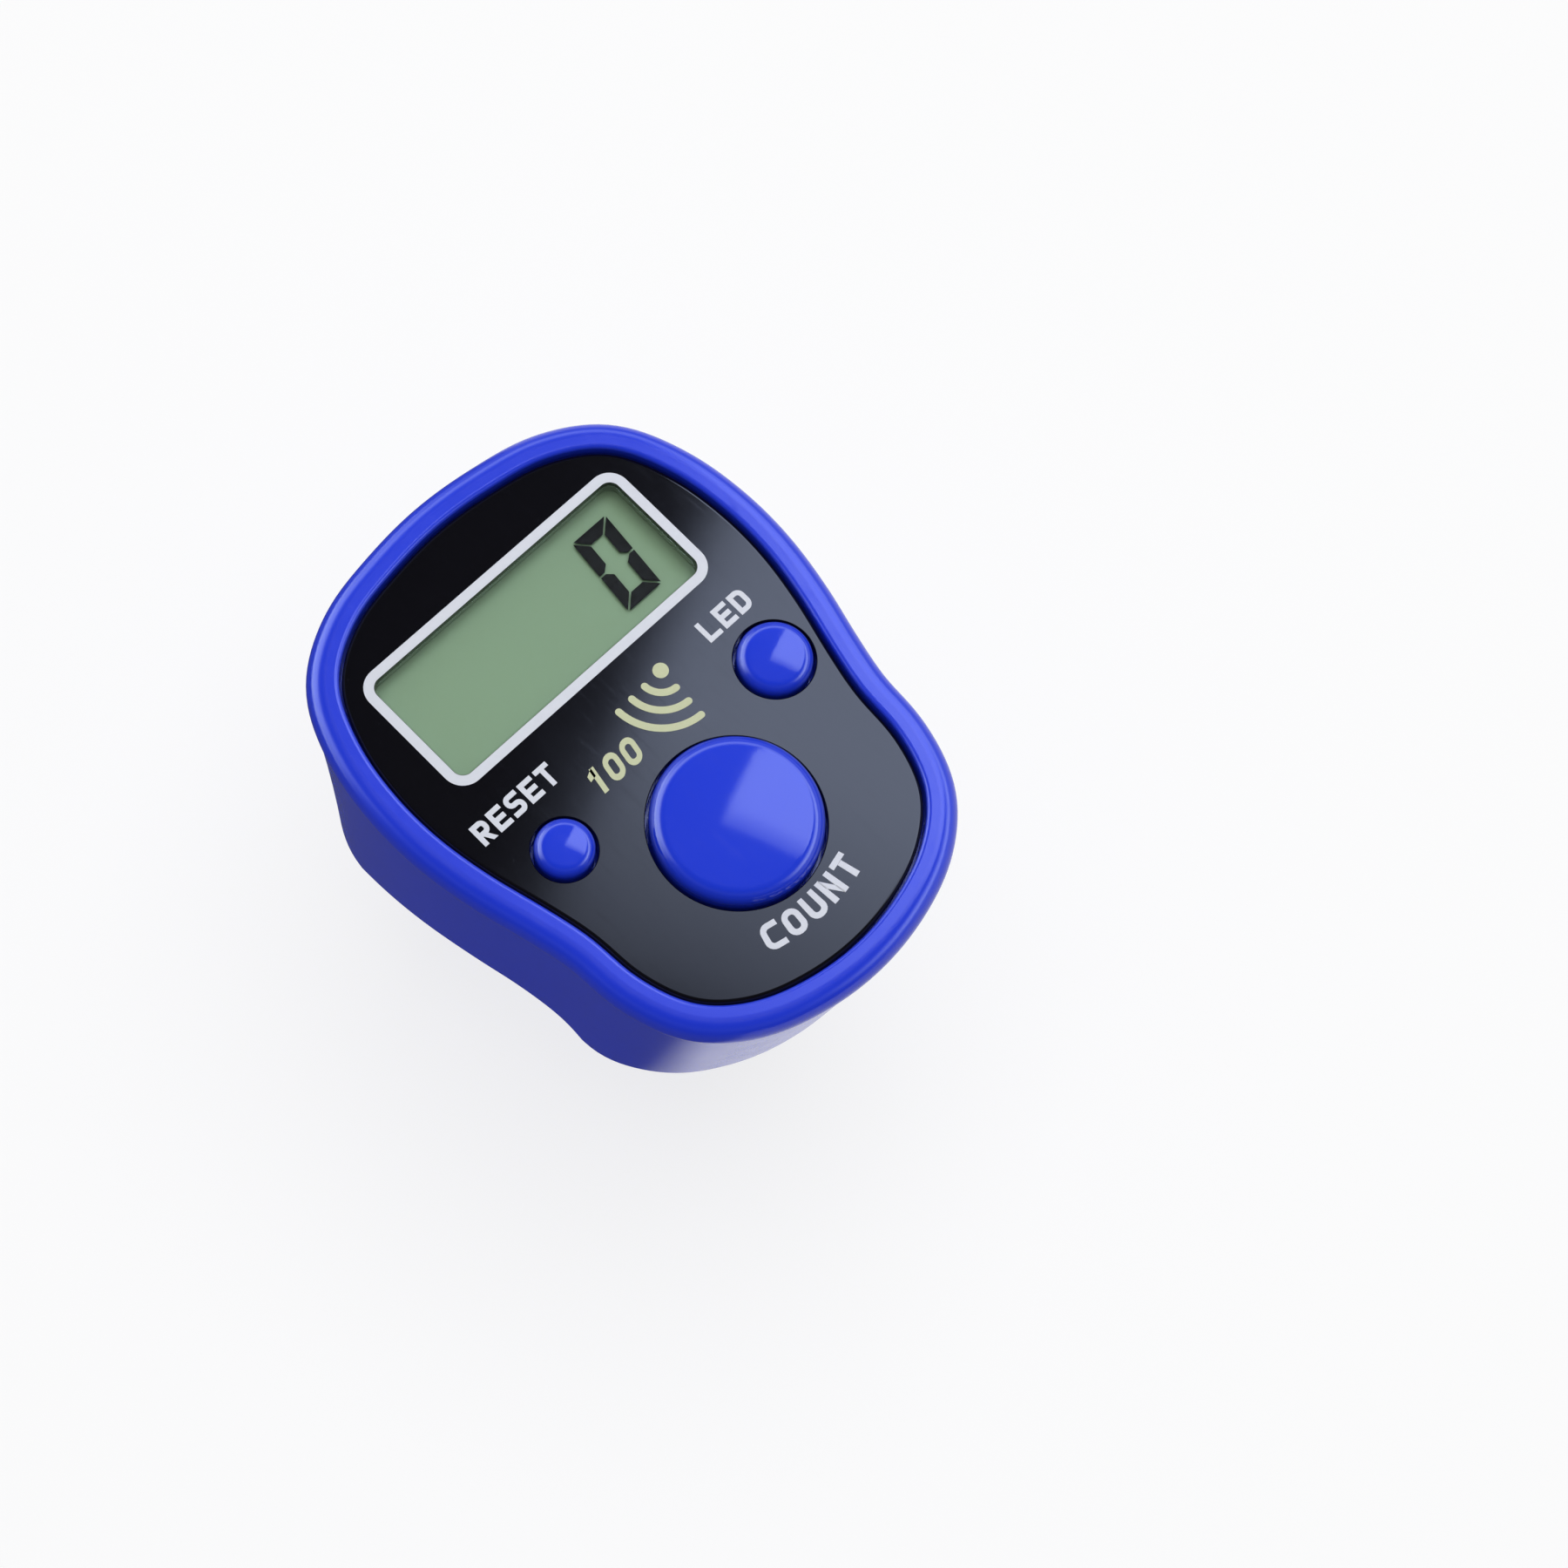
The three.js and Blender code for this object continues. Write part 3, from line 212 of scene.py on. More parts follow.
class Recipe:
    """A node tree under construction, of a material or of the world."""

    def __init__(self, owner: bpy.types.Material | bpy.types.World) -> None:
        """Starts with an empty tree.

        Args:
            owner: The material or world that the tree belongs to.
        """
        owner.use_nodes = True
        self.owner = owner
        self.tree = owner.node_tree
        self.tree.nodes.clear()

    @classmethod
    def surface(cls, name: str) -> "Recipe":
        """Starts a new material.

        Args:
            name: The material's name.

        Returns:
            The empty recipe.
        """
        return cls(bpy.data.materials.new(name))

    def add(self, kind: str, settings: dict[str, object], inputs: dict[str | int, object]) -> bpy.types.Node:
        """Adds a node, sets it up and links it.

        Args:
            kind: The node's type.
            settings: The node's properties, and ramp stops under the key "stops".
            inputs: Values or signals by socket name or number.

        Returns:
            The node.
        """
        node = self.tree.nodes.new(kind)
        for key, value in settings.items():
            if key == "stops":
                self._set_stops(node.color_ramp, value)
            else:
                setattr(node, key, value)
        for key, value in inputs.items():
            if isinstance(value, Signal):
                self.tree.links.new(value.socket, node.inputs[key])
            else:
                node.inputs[key].default_value = value
        return node

    def node(
        self,
        kind: str,
        settings: dict[str, object],
        inputs: dict[str | int, object],
        output: str | int = 0,
    ) -> Signal:
        """Adds a node and returns one of its outputs.

        Args:
            kind: The node's type.
            settings: The node's properties.
            inputs: Values or signals by socket name or number.
            output: The socket that is returned.

        Returns:
            The chosen output as a signal.
        """
        return Signal(self, self.add(kind, settings, inputs).outputs[output])

    @staticmethod
    def _set_stops(ramp: bpy.types.ColorRamp, stops: Stops) -> None:
        """Sets a grey ramp's stops.

        Args:
            ramp: The ramp to set.
            stops: Pairs of position and brightness.
        """
        while len(ramp.elements) < len(stops):
            ramp.elements.new(0.5)
        for element, (position, value) in zip(ramp.elements, stops):
            element.position = position
            element.color = (value, value, value, 1.0)

    def place(self) -> Signal:
        """Reads the object coordinates.

        Returns:
            The coordinates, in metres.
        """
        return self.node("ShaderNodeTexCoord", {}, {}, "Object")

    def axes(self, vector: Signal) -> list[Signal]:
        """Splits a vector.

        Args:
            vector: The vector.

        Returns:
            Its X, Y and Z.
        """
        return [Signal(self, part) for part in self.add("ShaderNodeSeparateXYZ", {}, {0: vector}).outputs]

    def rays(self) -> tuple[Signal, Signal]:
        """Tells by what kind of ray a surface is seen.

        Returns:
            One signal for rays that come straight or through glass, and one for mirrored rays.
        """
        path = self.add("ShaderNodeLightPath", {}, {})
        kinds = [Signal(self, path.outputs[f"Is {kind} Ray"]) for kind in ("Camera", "Glossy", "Transmission")]
        return kinds[0] + kinds[2], kinds[1]

    def noise(
        self,
        scale: float,
        detail: float = 3.0,
        roughness: float = 0.55,
        stretch: Sequence[float] = (1, 1, 1),
    ) -> Signal:
        """Adds noise on the object coordinates.

        Args:
            scale: Features per metre.
            detail: Octaves.
            roughness: Share of the finer octaves.
            stretch: Scale along each axis.

        Returns:
            The noise, from 0 to 1.
        """
        placed = self.node("ShaderNodeMapping", {}, {"Vector": self.place(), "Scale": tuple(stretch)})
        inputs = {"Vector": placed, "Scale": scale, "Detail": detail, "Roughness": roughness}
        return self.node("ShaderNodeTexNoise", {}, inputs)

    def ramp(self, value: Signal, stops: Stops) -> Signal:
        """Runs a value through a grey ramp.

        Args:
            value: The value to map.
            stops: Pairs of position and brightness.

        Returns:
            The mapped value.
        """
        return self.node("ShaderNodeValToRGB", {"stops": stops}, {"Fac": value})

    def mix(self, share: Signal, low: object, high: object) -> Signal:
        """Mixes two colours.

        Args:
            share: From 0 for the first to 1 for the second.
            low: The first colour or signal.
            high: The second colour or signal.

        Returns:
            The mixed colour.
        """
        ends = [(*c, 1.0) if isinstance(c, tuple) else c for c in (low, high)]
        return self.node("ShaderNodeMix", {"data_type": "RGBA"}, {0: share, 6: ends[0], 7: ends[1]}, 2)

    def bump(self, height: Signal, depth_mm: float) -> Signal:
        """Turns a height into a surface normal.

        Args:
            height: The height, from 0 to 1.
            depth_mm: What a height of 1 stands for.

        Returns:
            The normal.
        """
        return self.node("ShaderNodeBump", {}, {"Height": height, "Distance": depth_mm * MM, "Strength": 1.0})

    def blend(self, share: Signal, low: Signal, high: Signal) -> Signal:
        """Mixes two shaders.

        Args:
            share: From 0 for the first to 1 for the second.
            low: The first shader.
            high: The second shader.

        Returns:
            The mixed shader.
        """
        return self.node("ShaderNodeMixShader", {}, {0: share, 1: low, 2: high})

    def principled(self, **sockets: object) -> Signal:
        """Adds the surface shader.

        Args:
            **sockets: Values or signals by socket name, with underscores for spaces.

        Returns:
            The shader's output.
        """
        inputs = {}
        for key, value in sockets.items():
            plain = isinstance(value, tuple) and len(value) == 3
            inputs[key.replace("_", " ")] = (*value, 1.0) if plain else value
        return self.node("ShaderNodeBsdfPrincipled", {}, inputs)

    def finish(self, shader: Signal) -> bpy.types.Material | bpy.types.World:
        """Connects the shader to the output.

        Args:
            shader: The shader to show.

        Returns:
            The finished material or world.
        """
        world = isinstance(self.owner, bpy.types.World)
        self.add("ShaderNodeOutputWorld" if world else "ShaderNodeOutputMaterial", {}, {"Surface": shader})
        return self.owner


# Finishes


@dataclass(frozen=True)
class MouldedGloss:
    """Glossy moulded plastic with a faint flow pattern and fine handling marks."""

    name: str
    colour: Colour
    shade: Colour
    roughness: float = 0.16
    spread: float = 0.07
    grain_mm: float = 0.0012

    def material(self) -> bpy.types.Material:
        """Builds the material.

        Returns:
            The finished material.
        """
        recipe = Recipe.surface(self.name)
        flow = recipe.noise(90, 2)
        marks = recipe.ramp(recipe.noise(2600, 4, 0.6, (1, 0.15, 0.6)), [(0.55, 0.0), (0.75, 1.0)])
        cloud = recipe.noise(420, 4, 0.5)
        peel = recipe.noise(1500, 3, 0.5)
        return recipe.finish(recipe.principled(
            Base_Color=recipe.mix(flow, self.shade, self.colour),
            Roughness=self.roughness + self.spread * cloud + 0.06 * marks,
            Normal=recipe.bump(peel, self.grain_mm),
            IOR=1.52,
        ))


@dataclass(frozen=True)
class SoftRubber:
    """Soft satin rubber or PVC with a fine pebbled skin."""

    name: str
    colour: Colour
    shade: Colour
    roughness: float = 0.5
    pebble_mm: float = 0.012
    pebble_scale: float = 5200
    dust_share: float = 0.25
    dust_tone: float = 0.45

    def material(self) -> bpy.types.Material:
        """Builds the material.

        Returns:
            The finished material.
        """
        recipe = Recipe.surface(self.name)
        cloud = recipe.noise(220, 4)
        pebbles = recipe.noise(self.pebble_scale, 2, 0.5)
        dust = recipe.ramp(recipe.noise(900, 5, 0.7), [(0.5, 0.0), (0.85, 1.0)])
        tone = recipe.mix(cloud, self.shade, self.colour)
        dusty = tuple((1 - self.dust_share) * c + self.dust_share * self.dust_tone for c in self.colour)
        return recipe.finish(recipe.principled(
            Base_Color=recipe.mix(dust * self.dust_share, tone, dusty),
            Roughness=self.roughness + 0.14 * pebbles + 0.06 * dust,
            Normal=recipe.bump(pebbles, self.pebble_mm),
        ))


@dataclass(frozen=True)
class PolishedPlate:
    """Polished black acrylic with hair-fine wiping marks and a little dust."""

    name: str
    colour: Colour = (0.0035, 0.003, 0.005)
    dust_colour: Colour = (0.03, 0.03, 0.035)

    def material(self) -> bpy.types.Material:
        """Builds the material.

        Returns:
            The finished material.
        """
        recipe = Recipe.surface(self.name)
        wipes = recipe.ramp(recipe.noise(3200, 4, 0.6, (1.0, 0.08, 1.0)), [(0.56, 0.0), (0.8, 1.0)])
        dust = recipe.ramp(recipe.noise(5200, 3, 0.6), [(0.68, 0.0), (0.8, 1.0)])
        haze = recipe.noise(160, 3)
        return recipe.finish(recipe.principled(
            Base_Color=recipe.mix(dust * 0.35, self.colour, self.dust_colour),
            Roughness=0.06 + 0.04 * haze + 0.04 * wipes + 0.1 * dust,
            Normal=recipe.bump(haze, 0.002),
            IOR=1.49,
        ))


@dataclass(frozen=True)
class ClearPane:
    """Clear acrylic or glass that only shows its gloss."""

    name: str
    gloss: float = 0.02
    strength: float = 1.0

    def material(self) -> bpy.types.Material:
        """Builds the material.

        Returns:
            The finished material.
        """
        recipe = Recipe.surface(self.name)
        smear = recipe.noise(240, 4)
        fresnel = recipe.node("ShaderNodeFresnel", {}, {"IOR": 1.45})
        clear = recipe.node("ShaderNodeBsdfTransparent", {}, {"Color": (0.97, 0.98, 0.975, 1.0)})
        gloss = recipe.principled(
            Base_Color=recipe.mix(smear, (0.9, 0.92, 0.9), (0.97, 0.98, 0.97)),
            Metallic=1.0,
            Roughness=self.gloss + 0.03 * smear,
        )
        return recipe.finish(recipe.blend(fresnel * self.strength, clear, gloss))


@dataclass(frozen=True)
class DisplayFilm:
    """Grey-green display film with the grain of its reflector."""

    name: str
    colour: Colour
    shade: Colour

    def material(self) -> bpy.types.Material:
        """Builds the material.

        Returns:
            The finished material.
        """
        recipe = Recipe.surface(self.name)
        sheen = recipe.noise(70, 2)
        grain = recipe.noise(16000, 2, 0.5)
        return recipe.finish(recipe.principled(
            Base_Color=recipe.mix(sheen * 0.7 + 0.3 * grain, self.shade, self.colour),
            Roughness=0.5 + 0.12 * grain,
            Normal=recipe.bump(grain, 0.0015),
        ))


@dataclass(frozen=True)
class Print:
    """Screen-printed ink with a slightly uneven cover."""

    name: str
    colour: Colour
    thin: Colour
    roughness: float = 0.38

    def material(self) -> bpy.types.Material:
        """Builds the material.

        Returns:
            The finished material.
        """
        recipe = Recipe.surface(self.name)
        cover = recipe.noise(2600, 4, 0.6)
        weave = recipe.noise(14000, 1)
        return recipe.finish(recipe.principled(
            Base_Color=recipe.mix(cover * 0.5, self.colour, self.thin),
            Roughness=self.roughness + 0.15 * weave,
            Normal=recipe.bump(weave, 0.002),
        ))


@dataclass(frozen=True)
class ZebraRubber:
    """Silicone strip with its fine black and pale layers across its length."""

    name: str
    pale: Colour = (0.62, 0.6, 0.56)
    black: Colour = (0.012, 0.012, 0.013)
    layers_per_metre: float = 3300

    def material(self) -> bpy.types.Material:
        """Builds the material.

        Returns:
            The finished material.
        """
        recipe = Recipe.surface(self.name)
        settings = {"wave_type": "BANDS", "bands_direction": "X", "wave_profile": "SIN"}
        inputs = {"Vector": recipe.place(), "Scale": self.layers_per_metre / 20, "Distortion": 0.4, "Detail": 1.0}
        layers = recipe.ramp(recipe.node("ShaderNodeTexWave", settings, inputs), [(0.42, 0.0), (0.58, 1.0)])
        cloud = recipe.noise(700, 3)
        return recipe.finish(recipe.principled(
            Base_Color=recipe.mix(layers, self.black, self.pale),
            Roughness=0.55 + 0.15 * cloud,
            Normal=recipe.bump(layers, 0.01),
        ))


@dataclass(frozen=True)
class BoardLacquer:
    """Green solder mask over copper tracks that show as paler, raised lines."""

    name: str
    mask: Colour = (0.012, 0.12, 0.035)
    track: Colour = (0.035, 0.23, 0.07)
    pitch: float = 900

    def material(self) -> bpy.types.Material:
        """Builds the material.

        Returns:
            The finished material.
        """
        recipe = Recipe.surface(self.name)
        settings = {"feature": "F1", "distance": "CHEBYCHEV"}
        inputs = {"Vector": recipe.place(), "Scale": self.pitch / 2, "Randomness": 0.35}
        cells = recipe.node("ShaderNodeTexVoronoi", settings, inputs)
        tracks = recipe.ramp(cells, [(0.36, 0.0), (0.42, 1.0)])
        mottle = recipe.noise(2600, 4, 0.6)
        tone = recipe.mix(tracks, self.mask, self.track)
        return recipe.finish(recipe.principled(
            Base_Color=recipe.mix(mottle * 0.25, tone, self.mask),
            Roughness=0.32 + 0.15 * mottle,
            Normal=recipe.bump(tracks, 0.02),
        ))


@dataclass(frozen=True)
class Metal:
    """Drawn or plated metal with fine brushing and a few dull spots."""

    name: str
    colour: Colour
    shade: Colour
    roughness: float = 0.24
    brushing: Sequence[float] = (0.06, 1.0, 1.0)

    def material(self) -> bpy.types.Material:
        """Builds the material.

        Returns:
            The finished material.
        """
        recipe = Recipe.surface(self.name)
        lines = recipe.noise(9000, 3, 0.6, self.brushing)
        spots = recipe.ramp(recipe.noise(1400, 4, 0.6), [(0.45, 0.0), (0.8, 1.0)])
        return recipe.finish(recipe.principled(
            Base_Color=recipe.mix(spots * 0.6, self.colour, self.shade),
            Metallic=1.0,
            Roughness=self.roughness + 0.12 * lines + 0.15 * spots,
            Normal=recipe.bump(lines, 0.0015),
        ))


@dataclass(frozen=True)
class Coated:
    """Resin, ceramic or plain white plastic with a mottled satin skin."""

    name: str
    colour: Colour
    shade: Colour
    roughness: float = 0.42
    scale: float = 1800

    def material(self) -> bpy.types.Material:
        """Builds the material.

        Returns:
            The finished material.
        """
        recipe = Recipe.surface(self.name)
        mottle = recipe.noise(self.scale, 4, 0.6)
        cloud = recipe.noise(260, 3)
        return recipe.finish(recipe.principled(
            Base_Color=recipe.mix(cloud * 0.6 + 0.4 * mottle, self.shade, self.colour),
            Roughness=self.roughness + 0.15 * mottle,
            Normal=recipe.bump(mottle, 0.003),
        ))


FINISHES: dict[Slot, object] = {
    Slot.CASE_BLUE: MouldedGloss("case_blue_gloss", (0.02, 0.055, 0.85), (0.017, 0.047, 0.77)),
    Slot.BUTTON_BLUE: MouldedGloss("button_blue_gloss", (0.02, 0.058, 0.85), (0.017, 0.05, 0.78), 0.07, 0.04),
    Slot.STRAP_BLUE: SoftRubber("strap_blue_pvc", (0.03, 0.055, 0.5), (0.022, 0.04, 0.42)),
    Slot.BLACK_ACRYLIC: PolishedPlate("black_acrylic_polish"),
    Slot.CLEAR_ACRYLIC: ClearPane("clear_acrylic_pane", strength=0.3),
    Slot.DISPLAY_GREY: DisplayFilm("display_film_green", (0.31, 0.45, 0.285), (0.29, 0.425, 0.27)),
    Slot.DISPLAY_GLASS: ClearPane("display_glass_pane"),
    Slot.WHITE_PLASTIC: Coated("white_plastic_satin", (0.78, 0.78, 0.75), (0.7, 0.7, 0.67), 0.4, 900),
    Slot.GREY_RUBBER: SoftRubber("grey_rubber_matt", (0.3, 0.31, 0.32), (0.24, 0.25, 0.26), 0.7),
    Slot.BLACK_RUBBER: SoftRubber("black_rubber_matt", (0.02, 0.02, 0.021), (0.013, 0.013, 0.014), 0.75),
    Slot.BOARD_GREEN: BoardLacquer("board_lacquer_green"),
    Slot.BLACK_EPOXY: Coated("black_resin", (0.014, 0.014, 0.016), (0.006, 0.006, 0.007), 0.3, 1500),
    Slot.CERAMIC: Coated("fired_ceramic", (0.74, 0.7, 0.6), (0.62, 0.57, 0.47), 0.5, 4000),
    Slot.BRASS: Metal("brass_sheet", (0.62, 0.42, 0.14), (0.4, 0.26, 0.09), 0.28),
    Slot.STEEL: Metal("zinc_plated_steel", (0.62, 0.63, 0.65), (0.42, 0.43, 0.45), 0.2),
    Slot.NICKEL: Metal("nickel_plated_strip", (0.66, 0.64, 0.6), (0.46, 0.44, 0.4), 0.22),
}
ZEBRA = ZebraRubber("zebra_strip_layers")
WHITE_PRINT = Print("white_print", (0.8, 0.82, 0.88), (0.68, 0.7, 0.76))
CREAM_PRINT = Print("cream_print", (0.66, 0.69, 0.42), (0.55, 0.58, 0.35))
SEGMENT_PRINT = Print("display_segment_black", (0.004, 0.003, 0.0025), (0.008, 0.006, 0.005), 0.7)


class Palette:
    """Makes each finish once and hands out its material."""

    def __init__(self) -> None:
        """Starts with no materials."""
        self._made: dict[object, bpy.types.Material] = {}

    def get(self, finish: object) -> bpy.types.Material:
        """Returns a finish's material.

        Args:
            finish: The finish, or the record's slot that it belongs to.

        Returns:
            The one material of that finish.
        """
        recipe = FINISHES[finish] if isinstance(finish, Slot) else finish
        if recipe.name not in self._made:
            self._made[recipe.name] = recipe.material()
        return self._made[recipe.name]


PALETTE = Palette()


# Shared forms


@dataclass(frozen=True)
class CaseOutline:
    """The pear-shaped outline that the plate, the rim and the walls follow."""

    stations: tuple[Point2, ...] = (
        (0, 17.9), (4.1, 17.55), (7.9, 16.7), (11.1, 14.6), (12.8, 11.0), (13.45, 7.1), (13.4, 3.4), (12.75, -0.4),
        (11.9, -3.6), (11.15, -7.0), (10.85, -10.6), (9.5, -14.1), (6.9, -16.3), (3.5, -17.5), (0, -17.9),
    )
    draft_degrees: float = 8.0
    draft_from_y: float = 9.0
    draft_to_y: float = 17.0
    crease_z: float = 31.35
    samples: int = 240
    smoothing: int = 5
    curve_steps: int = 40

    def points(self) -> list[tuple[Vector, Vector]]:
        """Spaces points evenly along the outline, clockwise from the display end.

        Returns:
            Each point with its outward normal.
        """
        left = [Vector((-x, y)) for x, y in self.stations[1:-1]]
        right = [Vector((x, y)) for x, y in reversed(self.stations[1:-1])]
        knots = [Vector((0, self.stations[0][1])), *left, Vector((0, self.stations[-1][1])), *right]
        shares = [t / self.curve_steps for t in range(self.curve_steps)]
        dense = [self._between(knots, i, t) for i in range(len(knots)) for t in shares]
        lengths = [0.0]
        for a, b in zip(dense, dense[1:] + dense[:1]):
            lengths.append(lengths[-1] + (b - a).length)
        spaced, at = [], 0
        for i in range(self.samples):
            target = lengths[-1] * i / self.samples
            while lengths[at + 1] <= target:
                at += 1
            share = (target - lengths[at]) / (lengths[at + 1] - lengths[at])
            spaced.append(dense[at].lerp(dense[(at + 1) % len(dense)], share))
        for _ in range(self.smoothing):
            n = len(spaced)
            spaced = [spaced[i] * 0.5 + (spaced[i - 1] + spaced[(i + 1) % n]) * 0.25 for i in range(n)]
        found = []
        for i, point in enumerate(spaced):
            along = (spaced[(i + 1) % self.samples] - spaced[i - 1]).normalized()
            found.append((point, Vector((along.y, -along.x))))
        return found

    @staticmethod
    def _between(knots: Sequence[Vector], i: int, t: float) -> Vector:
        """Evaluates the closed centripetal curve between two knots.

        Args:
            knots: The curve's knots.
            i: The knot before the point.
            t: The share of the way to the next knot.

        Returns:
            The point.
        """
        n = len(knots)
        p0, p1, p2, p3 = knots[i - 1], knots[i], knots[(i + 1) % n], knots[(i + 2) % n]
        d0, d1, d2 = (math.sqrt((b - a).length) for a, b in ((p0, p1), (p1, p2), (p2, p3)))
        m1 = ((p1 - p0) / d0 - (p2 - p0) / (d0 + d1) + (p2 - p1) / d1) * d1
        m2 = ((p2 - p1) / d1 - (p3 - p1) / (d1 + d2) + (p3 - p2) / d2) * d1
        return (
            p1
            + m1 * t
            + (p1 * -3 + p2 * 3 - m1 * 2 - m2) * t**2
            + (p1 * 2 - p2 * 2 + m1 + m2) * t**3
        )

    def inset(self, y: float, z: float) -> float:
        """Returns how far the end draft draws a point in.

        Args:
            y: The point's place along the case.
            z: The point's height.

        Returns:
            The inset in millimetres.
        """
        share = min(1.0, max(0.0, (abs(y) - self.draft_from_y) / (self.draft_to_y - self.draft_from_y)))
        smooth = share * share * (3 - 2 * share)
        return math.tan(math.radians(self.draft_degrees)) * max(0.0, self.crease_z - z) * smooth


OUTLINE = CaseOutline()
OUTLINE_POINTS = OUTLINE.points()


def on_outline(station: int, offset: float, z: float) -> Vector:
    """Places a point of a ring that follows the case's outline.

    Args:
        station: The point's number round the outline.
        offset: Distance outside the plate's edge.
        z: Height.

    Returns:
        The point in millimetres.
    """
    point, normal = OUTLINE_POINTS[station]
    out = offset - OUTLINE.inset(point.y, z)
    return Vector((point.x + normal.x * out, point.y + normal.y * out, z))


def arc(centre: Point2, radius: float | Point2, start: float, end: float, steps: int) -> list[Point2]:
    """Lists the points of a round or elliptic arc.

    Args:
        centre: The arc's centre.
        radius: Its radius, or its two radii.
        start: Its first angle in degrees.
        end: Its last angle in degrees.
        steps: The number of steps.

    Returns:
        The points.
    """
    wide, high = radius if isinstance(radius, tuple) else (radius, radius)
    angles = [math.radians(start + (end - start) * i / steps) for i in range(steps + 1)]
    return [(centre[0] + wide * math.cos(a), centre[1] + high * math.sin(a)) for a in angles]


def linked(name: str, data: bpy.types.ID) -> bpy.types.Object:
    """Makes an object and puts it in the scene.

    Args:
        name: The object's name.
        data: Its mesh, light or camera.

    Returns:
        The object.
    """
    made = bpy.data.objects.new(name, data)
    bpy.context.scene.collection.objects.link(made)
    return made


def bevel(
    bm: bmesh.types.BMesh,
    edges: list[bmesh.types.BMEdge],
    width: float,
    segments: int,
    clamp: bool = True,
) -> None:
    """Rounds edges.

    Args:
        bm: The mesh.
        edges: The edges to round.
        width: The bevel's width.
        segments: Its steps.
        clamp: True if bevels stop where they would overlap.
    """
    bmesh.ops.bevel(
        bm,
        geom=edges,
        offset=width,
        offset_type="OFFSET",
        affect="EDGES",
        segments=segments,
        profile=0.5,
        material=-1,
        clamp_overlap=clamp,
    )


